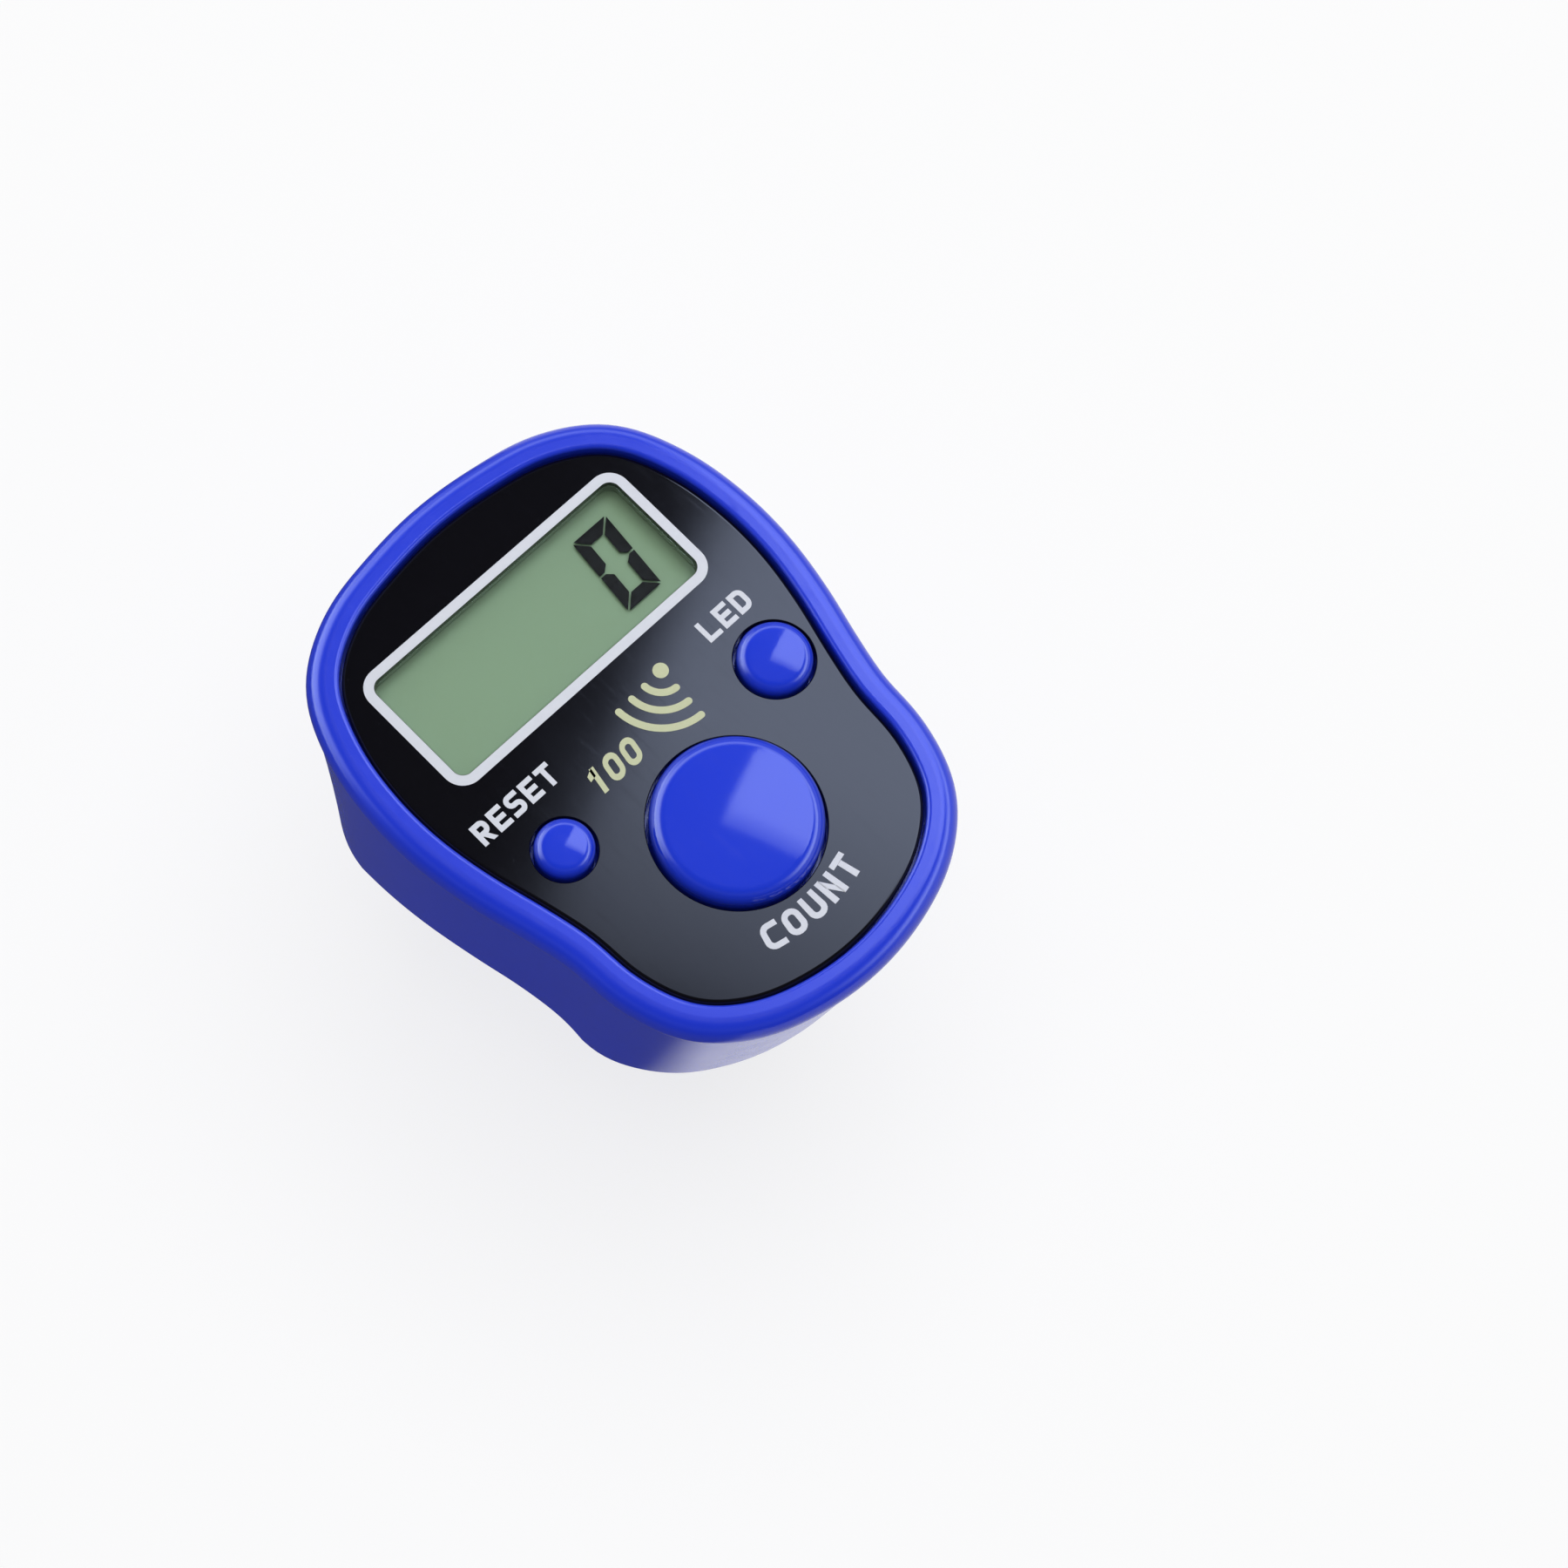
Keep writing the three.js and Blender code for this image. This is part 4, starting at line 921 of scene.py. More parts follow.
class Form:
    """A mesh that is shaped with bmesh operators, in millimetres."""

    def __init__(self) -> None:
        """Starts an empty mesh."""
        self.bm = bmesh.new()

    def sweep(self, count: int, places: Sequence[Callable[[int], Vector]]) -> "Form":
        """Draws a closed loop of points through a row of stations and caps both ends.

        Args:
            count: Points in the loop.
            places: For each station, what gives a point's place by its number.

        Returns:
            The form.
        """
        number = self.bm.verts.layers.int.new("number")
        made = bmesh.ops.create_circle(self.bm, cap_ends=False, segments=count, radius=1)
        for i, vert in enumerate(made["verts"]):
            vert[number] = i
            vert.co = places[0](i)
        edges = list(self.bm.edges)
        bmesh.ops.edgeloop_fill(self.bm, edges=edges)
        for place in places[1:]:
            grown = bmesh.ops.extrude_edge_only(self.bm, edges=edges)["geom"]
            ring = {g for g in grown if isinstance(g, bmesh.types.BMVert)}
            edges = [g for g in grown if isinstance(g, bmesh.types.BMEdge) and ring.issuperset(g.verts)]
            for vert in ring:
                vert.co = place(vert[number])
        bmesh.ops.edgeloop_fill(self.bm, edges=edges)
        return self.closed()

    def follow(self, profile: Sequence[Point2]) -> "Form":
        """Draws the case's outline through a profile of offsets and heights.

        Args:
            profile: Pairs of offset and height, from the bottom up.

        Returns:
            The form.
        """
        places = [lambda i, o=offset, z=z: on_outline(i, o, z) for offset, z in profile]
        return self.sweep(len(OUTLINE_POINTS), places)

    def turn(self, profile: Sequence[Point2], steps: int, centre: Point2 = (0, 0)) -> "Form":
        """Spins a profile that starts and ends on the axis.

        Args:
            profile: Pairs of radius and height.
            steps: Facets round the axis.
            centre: Where the axis stands.

        Returns:
            The form.
        """
        verts = [self.bm.verts.new((r, 0, z)) for r, z in profile]
        edges = [self.bm.edges.new(pair) for pair in zip(verts, verts[1:])]
        bmesh.ops.spin(
            self.bm,
            geom=[*verts, *edges],
            cent=(0, 0, 0),
            axis=(0, 0, 1),
            angle=math.tau,
            steps=steps,
            use_merge=True,
        )
        bmesh.ops.remove_doubles(self.bm, verts=self.bm.verts, dist=SEAM_MM)
        bmesh.ops.translate(self.bm, verts=self.bm.verts, vec=(*centre, 0))
        return self.closed()

    def block(self, low: Sequence[float], high: Sequence[float]) -> "Form":
        """Adds a block.

        Args:
            low: Its lowest corner.
            high: Its highest corner.

        Returns:
            The form.
        """
        size = [h - l for l, h in zip(low, high)]
        middle = [(h + l) / 2 for l, h in zip(low, high)]
        bmesh.ops.create_cube(self.bm, size=1, matrix=Matrix.Translation(middle) @ Matrix.Diagonal((*size, 1)))
        return self

    def lift(self, faces: list[bmesh.types.BMFace], height: float) -> list[bmesh.types.BMVert]:
        """Raises flat faces to a block and keeps them as its underside.

        Args:
            faces: The faces.
            height: The block's height.

        Returns:
            The top's vertices.
        """
        grown = bmesh.ops.extrude_face_region(self.bm, geom=faces, use_keep_orig=True)["geom"]
        top = [g for g in grown if isinstance(g, bmesh.types.BMVert)]
        bmesh.ops.translate(self.bm, verts=top, vec=(0, 0, height))
        self.closed()
        return top

    def prism(self, outline: Sequence[Point2], low: float, high: float, edge: float = 0.0) -> "Form":
        """Raises a flat outline to a block, with its top edge bevelled.

        Args:
            outline: The outline's corners.
            low: The underside.
            high: The top.
            edge: The width of the top edge's bevel.

        Returns:
            The form.
        """
        top = self.lift([self.bm.faces.new([self.bm.verts.new((x, y, low)) for x, y in outline])], high - low)
        if edge:
            bevel(self.bm, [e for e in self.bm.edges if all(v in top for v in e.verts)], edge, 2)
        return self

    def strip(self, sides: Sequence[tuple[Point2, Point2]], closed: bool, low: float, high: float) -> "Form":
        """Raises a band between two lines to a block.

        Args:
            sides: The band's two edge points at each of its stations.
            closed: True if the band closes on itself.
            low: The underside.
            high: The top.

        Returns:
            The form.
        """
        pairs = [[self.bm.verts.new((*point, low)) for point in pair] for pair in sides]
        nexts = pairs[1:] + pairs[:1] if closed else pairs[1:]
        self.lift([self.bm.faces.new((a[0], a[1], b[1], b[0])) for a, b in zip(pairs, nexts)], high - low)
        return self

    def rod(self, radius: float, start: Sequence[float], end: Sequence[float], steps: int = 48) -> "Form":
        """Adds a round rod between two points.

        Args:
            radius: The rod's radius.
            start: One end.
            end: The other end.
            steps: Facets round it.

        Returns:
            The form.
        """
        a, b = Vector(start), Vector(end)
        turn = (b - a).to_track_quat("Z", "Y").to_matrix().to_4x4()
        bmesh.ops.create_cone(
            self.bm,
            cap_ends=True,
            segments=steps,
            radius1=radius,
            radius2=radius,
            depth=(b - a).length,
            matrix=Matrix.Translation((a + b) / 2) @ turn,
        )
        return self

    def closed(self) -> "Form":
        """Turns all faces outward.

        Returns:
            The form.
        """
        bmesh.ops.recalc_face_normals(self.bm, faces=self.bm.faces)
        return self

    def moved(self, matrix: Matrix) -> "Form":
        """Moves the whole form.

        Args:
            matrix: The transform, in millimetres.

        Returns:
            The form.
        """
        bmesh.ops.transform(self.bm, matrix=matrix, verts=self.bm.verts)
        return self

    def in_triangles(self) -> "Form":
        """Splits all faces into triangles.

        Returns:
            The form.
        """
        bmesh.ops.triangulate(self.bm, faces=self.bm.faces)
        return self

    def thing(self, name: str) -> bpy.types.Object:
        """Turns the form into an object in metres.

        Args:
            name: The object's name.

        Returns:
            The object, linked to the scene.
        """
        bmesh.ops.scale(self.bm, vec=(MM, MM, MM), verts=self.bm.verts)
        mesh = bpy.data.meshes.new(name)
        self.bm.to_mesh(mesh)
        self.bm.free()
        return linked(name, mesh)


class Operation(Enum):
    """How one solid works on another."""

    CUT = "DIFFERENCE"
    JOIN = "UNION"


def work(piece: bpy.types.Object, operation: Operation, *tools: Form) -> None:
    """Cuts a piece with other solids, or joins them to it.

    Args:
        piece: The object that is worked on.
        operation: What is done.
        *tools: The solids that do it.
    """
    group = bpy.data.collections.new("tools")
    for tool in tools:
        group.objects.link(tool.in_triangles().thing("tool"))
    modifier = piece.modifiers.new("work", "BOOLEAN")
    modifier.operation = operation.value
    modifier.solver = "EXACT"
    modifier.operand_type = "COLLECTION"
    modifier.collection = group
    graph = bpy.context.evaluated_depsgraph_get()
    bm = bmesh.new()
    bm.from_mesh(piece.evaluated_get(graph).to_mesh())
    bmesh.ops.triangulate(bm, faces=bm.faces)
    bmesh.ops.dissolve_degenerate(bm, edges=bm.edges, dist=WELD / 10)
    piece.modifiers.clear()
    bm.to_mesh(piece.data)
    bm.free()
    for other in list(group.objects):
        bpy.data.objects.remove(other)
    bpy.data.collections.remove(group)


def dress(
    piece: bpy.types.Object,
    slot: Slot,
    body: Body,
    replaces: Sequence[str] = (),
    finish: object = None,
    crease: float = 32.0,
) -> None:
    """Smooths a piece, gives it its finish and ties it to its body.

    Args:
        piece: The finished piece.
        slot: The record's slot.
        body: The body that it rides on.
        replaces: The frame's nodes that it stands for.
        finish: A finish other than the slot's own.
        crease: The angle in degrees from which an edge stays sharp.
    """
    bm = bmesh.new()
    bm.from_mesh(piece.data)
    bmesh.ops.remove_doubles(bm, verts=bm.verts, dist=WELD)
    bmesh.ops.dissolve_degenerate(bm, edges=bm.edges, dist=SLIVER)
    bmesh.ops.dissolve_limit(bm, angle_limit=math.radians(FLAT_DEGREES), verts=bm.verts, edges=bm.edges)
    bmesh.ops.dissolve_degenerate(bm, edges=bm.edges, dist=SLIVER)
    for face in bm.faces:
        face.smooth = True
    for edge in bm.edges:
        edge.smooth = len(edge.link_faces) == 2 and edge.calc_face_angle(0) < math.radians(crease)
    bm.to_mesh(piece.data)
    bm.free()
    modifier = piece.modifiers.new("flats", "WEIGHTED_NORMAL")
    modifier.keep_sharp = True
    graph = bpy.context.evaluated_depsgraph_get()
    mesh = bpy.data.meshes.new_from_object(piece.evaluated_get(graph))
    piece.modifiers.clear()
    piece.data = mesh
    piece.data.materials.clear()
    piece.data.materials.append(PALETTE.get(finish or slot))
    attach(piece, body.value)
    if replaces:
        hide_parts(*replaces)
    log.info("%s: %d faces", piece.name, len(piece.data.polygons))


@dataclass(frozen=True)
class Levels:
    """Heights that the pieces share, in millimetres."""

    foot: float = 18.5
    saddle_top: float = 21.25
    saddle_radius: float = 16.2
    floor_thick: float = 1.2
    board_top: float = 27.4
    board_under: float = 26.6
    dome_foot: float = 28.0
    deck_under: float = 30.45
    deck_top: float = 31.25
    plate_under: float = 31.35
    face: float = 32.55
    rim_top: float = 33.1

    @property
    def saddle_axis(self) -> float:
        """Places the saddle's axis.

        Returns:
            Its height.
        """
        return self.saddle_top - self.saddle_radius


LEVELS = Levels()


@dataclass(frozen=True)
class Key:
    """One push button: its place and its sizes."""

    name: str
    body: Body
    x: float
    y: float
    radius: float
    proud: float
    shoulder: float
    travel: float
    dome_radius: float
    crown_degrees: float
    gap: float = 0.2
    clearance: float = 0.1
    flange_reach: float = 0.7
    flange_thick: float = 0.45
    cap_wall: float = 0.8
    cap_roof: float = 0.75
    plunger_edge: float = 0.1
    shoulder_steps: int = 14
    crown_rings: int = 10
    cap_steps: int = 112
    hole_steps: int = 96
    mouth_share: float = 0.3
    dome_taper: float = 0.9
    dome_rise: float = 1.1
    dome_wall: float = 0.45
    dome_lip: float = 0.3
    dome_roll: float = 0.12
    dome_head: float = 0.33
    dome_hem: float = 0.05
    dome_steps: int = 64

    def profile(self) -> list[Point2]:
        """Draws the cap's profile.

        Returns:
            Its points, from the plunger's axis to the crown's top.
        """
        top = LEVELS.face + self.proud
        flange_top = LEVELS.deck_under - self.clearance
        flange_low = flange_top - self.flange_thick
        flange = self.radius + self.flange_reach
        plunger = self.dome_radius - self.dome_taper
        plunger_z = self.dome_top + self.clearance
        ceiling = top - self.shoulder - self.cap_roof
        slope = math.radians(self.crown_degrees)
        crown_radius = self.radius - self.shoulder * (1 - math.sin(slope))
        rise = crown_radius * math.tan(slope) / 2
        side = top - rise - self.shoulder * math.cos(slope)
        steps, edge = self.shoulder_steps, self.plunger_edge
        shoulder = arc((self.radius - self.shoulder, side), self.shoulder, 0, 90 - self.crown_degrees, steps)
        shares = [i / self.crown_rings for i in range(self.crown_rings - 1, 0, -1)]
        crown = [(crown_radius * share, top - rise * share**2) for share in shares]
        inner = self.radius - self.cap_wall
        return [
            (0, plunger_z), (plunger - edge, plunger_z), (plunger, plunger_z + edge), (plunger, ceiling),
            (inner, ceiling), (inner, flange_low), (flange, flange_low), (flange, flange_top),
            (self.radius, flange_top), *shoulder, *crown, (0, top),
        ]

    def hole(self, low: float, high: float, chamfer: float) -> Form:
        """Shapes the tool that cuts the button's hole with a chamfered mouth.

        Args:
            low: Where the tool starts.
            high: The surface that the hole opens in.
            chamfer: The width of the chamfer.

        Returns:
            The tool.
        """
        r, over, middle = self.radius + self.gap, high + OVERCUT_MM, chamfer * self.mouth_share
        profile = [
            (0, low), (r, low), (r, high - chamfer), (r + middle, high - middle), (r + chamfer, high),
            (r + chamfer, over), (0, over),
        ]
        return Form().turn(profile, self.hole_steps, (self.x, self.y))

    @property
    def dome_top(self) -> float:
        """Places the rubber dome's top at rest.

        Returns:
            Its height.
        """
        return LEVELS.board_top + self.travel + self.dome_rise

    def dome_profile(self) -> list[Point2]:
        """Draws the rubber dome's profile.

        Returns:
            Its points, from the axis inside to the axis on top.
        """
        top, r, wall, roll = self.dome_top, self.dome_radius, self.dome_wall, self.dome_roll
        foot, lip, head, hem = LEVELS.dome_foot, self.dome_lip, self.dome_head, self.dome_hem
        neck = r - self.dome_taper
        bend, side, edge = wall * 0.6, lip * 0.8, lip * 0.1
        inside = [(0, top - wall), (neck - bend, top - wall), (r - wall, foot)]
        skirt = [(r, foot), (r, foot + side), (r - edge, foot + lip)]
        crown = [(neck + hem, top - head - hem), (neck, top - head), *arc((neck - roll, top - roll), roll, 0, 90, 5)]
        return [*inside, *skirt, *crown, (0, top)]

    def build(self) -> None:
        """Builds the button and the dome that it squashes."""
        cap = Form().turn(self.profile(), self.cap_steps, (self.x, self.y)).thing(f"{self.name}_button_cap")
        dress(cap, Slot.BUTTON_BLUE, self.body, [f"{self.name}_button"])
        dome = Form().turn(self.dome_profile(), self.dome_steps, (self.x, self.y)).thing(f"{self.name}_dome_skin")
        dress(dome, Slot.GREY_RUBBER, Body.CASE, [f"{self.name}_dome"])
        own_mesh(dome)


KEYS = (
    Key("count", Body.COUNT, 0, -7.8, 5.27, 1.75, 1.1, 0.9, 3.3, 8.5),
    Key("led", Body.LED, 9.0, -2.0, 2.35, 1.05, 0.85, 0.7, 1.9, 11.0),
    Key("reset", Body.RESET, -8.6, -2.0, 1.84, 1.05, 0.8, 0.7, 1.9, 11.0),
)


@dataclass(frozen=True)
class Casing:
    """The moulded upper casing: rim, walls, deck and what is moulded under it."""

    rim_width: float = 2.15
    bead_radius: float = 1.25
    lip_radius: float = 0.3
    bead_start: float = -22.0
    bead_steps: int = 18
    lip_steps: int = 6
    tuck: float = 0.17
    wall: float = 1.45
    plate_gap: float = 0.15
    display_opening: tuple[float, float, float, float] = (-11.05, 11.05, 2.73, 14.08)
    foot_round: float = 0.18
    foot_turn: float = 0.05
    wall_rings: int = 5
    ceiling_chamfer: float = 0.3
    saddle_steps: int = 256
    hole_chamfer: float = 0.05
    boss_radius: float = 1.7
    boss_foot: float = 21.4
    boss_pilot: float = 0.95
    count_boss: Point2 = (7.8, -11.4)
    display_boss: Point2 = (9.4, 12.0)
    rib_reach: float = 12.0
    rib_half: float = 1.0
    post_radius: float = 1.25
    post_pilot: float = 0.7
    post_ys: Point2 = (0.9, 15.9)
    pilot_top: float = 25.1
    post_pilot_span: Point2 = (26.4, 29.3)
    pilot_steps: tuple[int, int] = (24, 20)
    post_gap: float = 0.1
    rib_inset: float = 0.01
    merge: float = 0.2
    opening_over: Point2 = (0.7, 0.9)
    hole_under: float = 1.1

    def rim(self) -> list[Point2]:
        """Draws the rim's profile.

        Returns:
            Its points, from the crease to the recess for the plate.
        """
        bead, lip, top = self.bead_radius, self.lip_radius, LEVELS.rim_top
        return [
            *arc((self.rim_width - bead, top - bead), bead, self.bead_start, 90, self.bead_steps),
            *arc((self.plate_gap + lip, top - lip), lip, 90, 180, self.lip_steps),
        ]

    def build(self) -> None:
        """Builds the shell, then cuts its openings and adds the bosses."""
        outer, foot, turn = self.rim_width - self.tuck, LEVELS.foot, self.foot_turn
        inner = outer - self.wall
        wall = [(outer - self.foot_round, foot), (outer - turn, foot + turn), (outer, foot + self.foot_round)]
        rise = (OUTLINE.crease_z - foot) / self.wall_rings
        rings = [(outer, foot + rise * i) for i in range(1, self.wall_rings + 1)]
        shell = Form().follow([*wall, *rings, *self.rim()]).in_triangles().thing("casing_shell")
        ceiling, chamfer = LEVELS.deck_under, self.ceiling_chamfer
        cavity = Form().follow([
            (inner, foot - OVERCUT_MM), (inner, ceiling - chamfer), (inner - chamfer, ceiling),
        ])
        levels = (LEVELS.deck_top, OUTLINE.crease_z, LEVELS.rim_top + OVERCUT_MM)
        recess = Form().follow([(self.plate_gap, z) for z in levels])
        x0, x1, y0, y1 = self.display_opening
        under, over = self.opening_over
        opening = Form().block((x0, y0, ceiling - under), (x1, y1, LEVELS.deck_top + over))
        holes = [key.hole(ceiling - self.hole_under, LEVELS.deck_top, self.hole_chamfer) for key in KEYS]
        ends = [(x, 0, LEVELS.saddle_axis) for x in (-FAR_MM, FAR_MM)]
        saddle = Form().rod(LEVELS.saddle_radius, *ends, self.saddle_steps)
        work(shell, Operation.CUT, cavity, recess, opening, *holes)
        work(shell, Operation.JOIN, *self.bosses())
        work(shell, Operation.CUT, saddle, *self.pilots(), *Door().passage())
        dress(shell, Slot.CASE_BLUE, Body.CASE, ["upper_casing"])

    def bosses(self) -> list[Form]:
        """Shapes the screw bosses and the board posts.

        Returns:
            The solids to join.
        """
        low, top, deck = self.boss_foot, LEVELS.board_under - 2 * self.merge, LEVELS.deck_top - self.merge
        cx, cy = self.count_boss
        dx, dy = self.display_boss
        half, inset = self.rib_half, self.rib_inset
        found = []
        for side in (-1, 1):
            x0, x1 = sorted((side * dx, side * self.rib_reach))
            found.append(Form().rod(self.boss_radius, (side * cx, cy, low), (side * cx, cy, deck)))
            found.append(Form().rod(self.boss_radius, (side * dx, dy, low), (side * dx, dy, top)))
            found.append(Form().block((x0, dy - half, low + inset), (x1, dy + half, top - inset)))
        for y in self.post_ys:
            found.append(Form().rod(self.post_radius, (0, y, LEVELS.board_top + self.post_gap), (0, y, deck)))
        return found

    def pilots(self) -> list[Form]:
        """Shapes the tools for the screw holes.

        Returns:
            The solids to cut.
        """
        bosses = [(side * x, y) for x, y in (self.display_boss, self.count_boss) for side in (-1, 1)]
        low, high, top = LEVELS.foot, self.post_pilot_span[1], self.pilot_top
        found = [Form().rod(self.boss_pilot, (x, y, low), (x, y, top), self.pilot_steps[0]) for x, y in bosses]
        low, steps = self.post_pilot_span[0], self.pilot_steps[1]
        return found + [Form().rod(self.post_pilot, (0, y, low), (0, y, high), steps) for y in self.post_ys]


@dataclass(frozen=True)
class FacePlate:
    """The polished black plate with its rolled edge, and the clear window in it."""

    edge_drop: float = 0.2
    edge_roll: float = 0.3
    window: tuple[float, float, float, float] = (-10.0, 10.0, 5.275, 13.325)
    corner: float = 0.75
    corner_steps: int = 10
    window_gap: float = 0.12
    window_corner: float = 0.65
    window_sink: float = 0.05
    window_edge: float = 0.06
    roll_steps: int = 12
    hole_chamfer: float = 0.06
    crease: float = 15.0

    def outline(self, grow: float, corner: float) -> list[Point2]:
        """Draws a rounded rectangle round the window.

        Args:
            grow: How far it lies outside the window.
            corner: Its corner radius.

        Returns:
            Its points.
        """
        x0, x1, y0, y1 = self.window
        x0, x1, y0, y1 = x0 - grow, x1 + grow, y0 - grow, y1 + grow
        low_x, high_x, low_y, high_y = x0 + corner, x1 - corner, y0 + corner, y1 - corner
        spots = ((high_x, low_y, -90), (high_x, high_y, 0), (low_x, high_y, 90), (low_x, low_y, 180))
        arcs = [arc((cx, cy), corner, start, start + 90, self.corner_steps) for cx, cy, start in spots]
        return [point for points in arcs for point in points]

    def build(self) -> None:
        """Builds the plate and the window."""
        middle = (-self.edge_roll, LEVELS.face - self.edge_drop)
        roll = arc(middle, (self.edge_roll, self.edge_drop), 0, 90, self.roll_steps)
        plate = Form().follow([(0, LEVELS.plate_under), *roll]).in_triangles().thing("face_plate_skin")
        under = LEVELS.plate_under - OVERCUT_MM
        holes = [key.hole(under, LEVELS.face, self.hole_chamfer) for key in KEYS]
        opening = Form().prism(self.outline(0, self.corner), under, LEVELS.face + OVERCUT_MM)
        work(plate, Operation.CUT, opening, *holes)
        dress(plate, Slot.BLACK_ACRYLIC, Body.CASE, ["face_plate"], crease=self.crease)
        top, outline = LEVELS.face - self.window_sink, self.outline(-self.window_gap, self.window_corner)
        pane = Form().prism(outline, LEVELS.plate_under, top, self.window_edge)
        dress(pane.thing("display_window_pane"), Slot.CLEAR_ACRYLIC, Body.CASE, ["display_window"])


@dataclass(frozen=True)
class Digit:
    """The display's slanted figure, made of its separate segments."""

    left: float = 5.1
    low: float = 6.55
    width: float = 2.8
    height: float = 5.55
    bar: float = 0.82
    slant: float = 0.1
    split: float = 0.09
    middle_share: float = 0.7
    film_gap: float = 0.005
    thick: float = 0.025
    lit: tuple[str, ...] = ("top", "upper_left", "upper_right", "lower_left", "lower_right", "bottom")

    def segments(self) -> dict[str, list[Point2]]:
        """Draws the segments.

        Returns:
            Each one's corners before the slant.
        """
        w, h, b, g = self.width, self.height, self.bar, self.split
        half, middle = b / 2, h / 2
        end = middle - g * self.middle_share
        side_low = [(0, g), (0, end), (half, end), (b, middle - half), (b, b + g)]
        bottom = [(g, 0), (b + g, b), (w - b - g, b), (w - g, 0)]

        def mirror_x(points: list[Point2]) -> list[Point2]:
            """Mirrors points from left to right.

            Args:
                points: The points.

            Returns:
                The mirrored points.
            """
            return [(w - x, y) for x, y in points]

        def mirror_y(points: list[Point2]) -> list[Point2]:
            """Mirrors points from bottom to top.

            Args:
                points: The points.

            Returns:
                The mirrored points.
            """
            return [(x, h - y) for x, y in points]

        return {
            "bottom": bottom,
            "top": mirror_y(bottom),
            "lower_left": side_low,
            "lower_right": mirror_x(side_low),
            "upper_left": mirror_y(side_low),
            "upper_right": mirror_y(mirror_x(side_low)),
        }

    def build(self) -> None:
        """Builds the lit segments as one thin piece."""
        form, top = Form(), LEVELS.plate_under - self.film_gap
        for name in self.lit:
            corners = [(self.left + x + self.slant * y, self.low + y) for x, y in self.segments()[name]]
            form.prism(corners, top - self.thick, top)
        dress(form.closed().thing("display_digit"), Slot.DISPLAY_GREY, Body.CASE, finish=SEGMENT_PRINT)


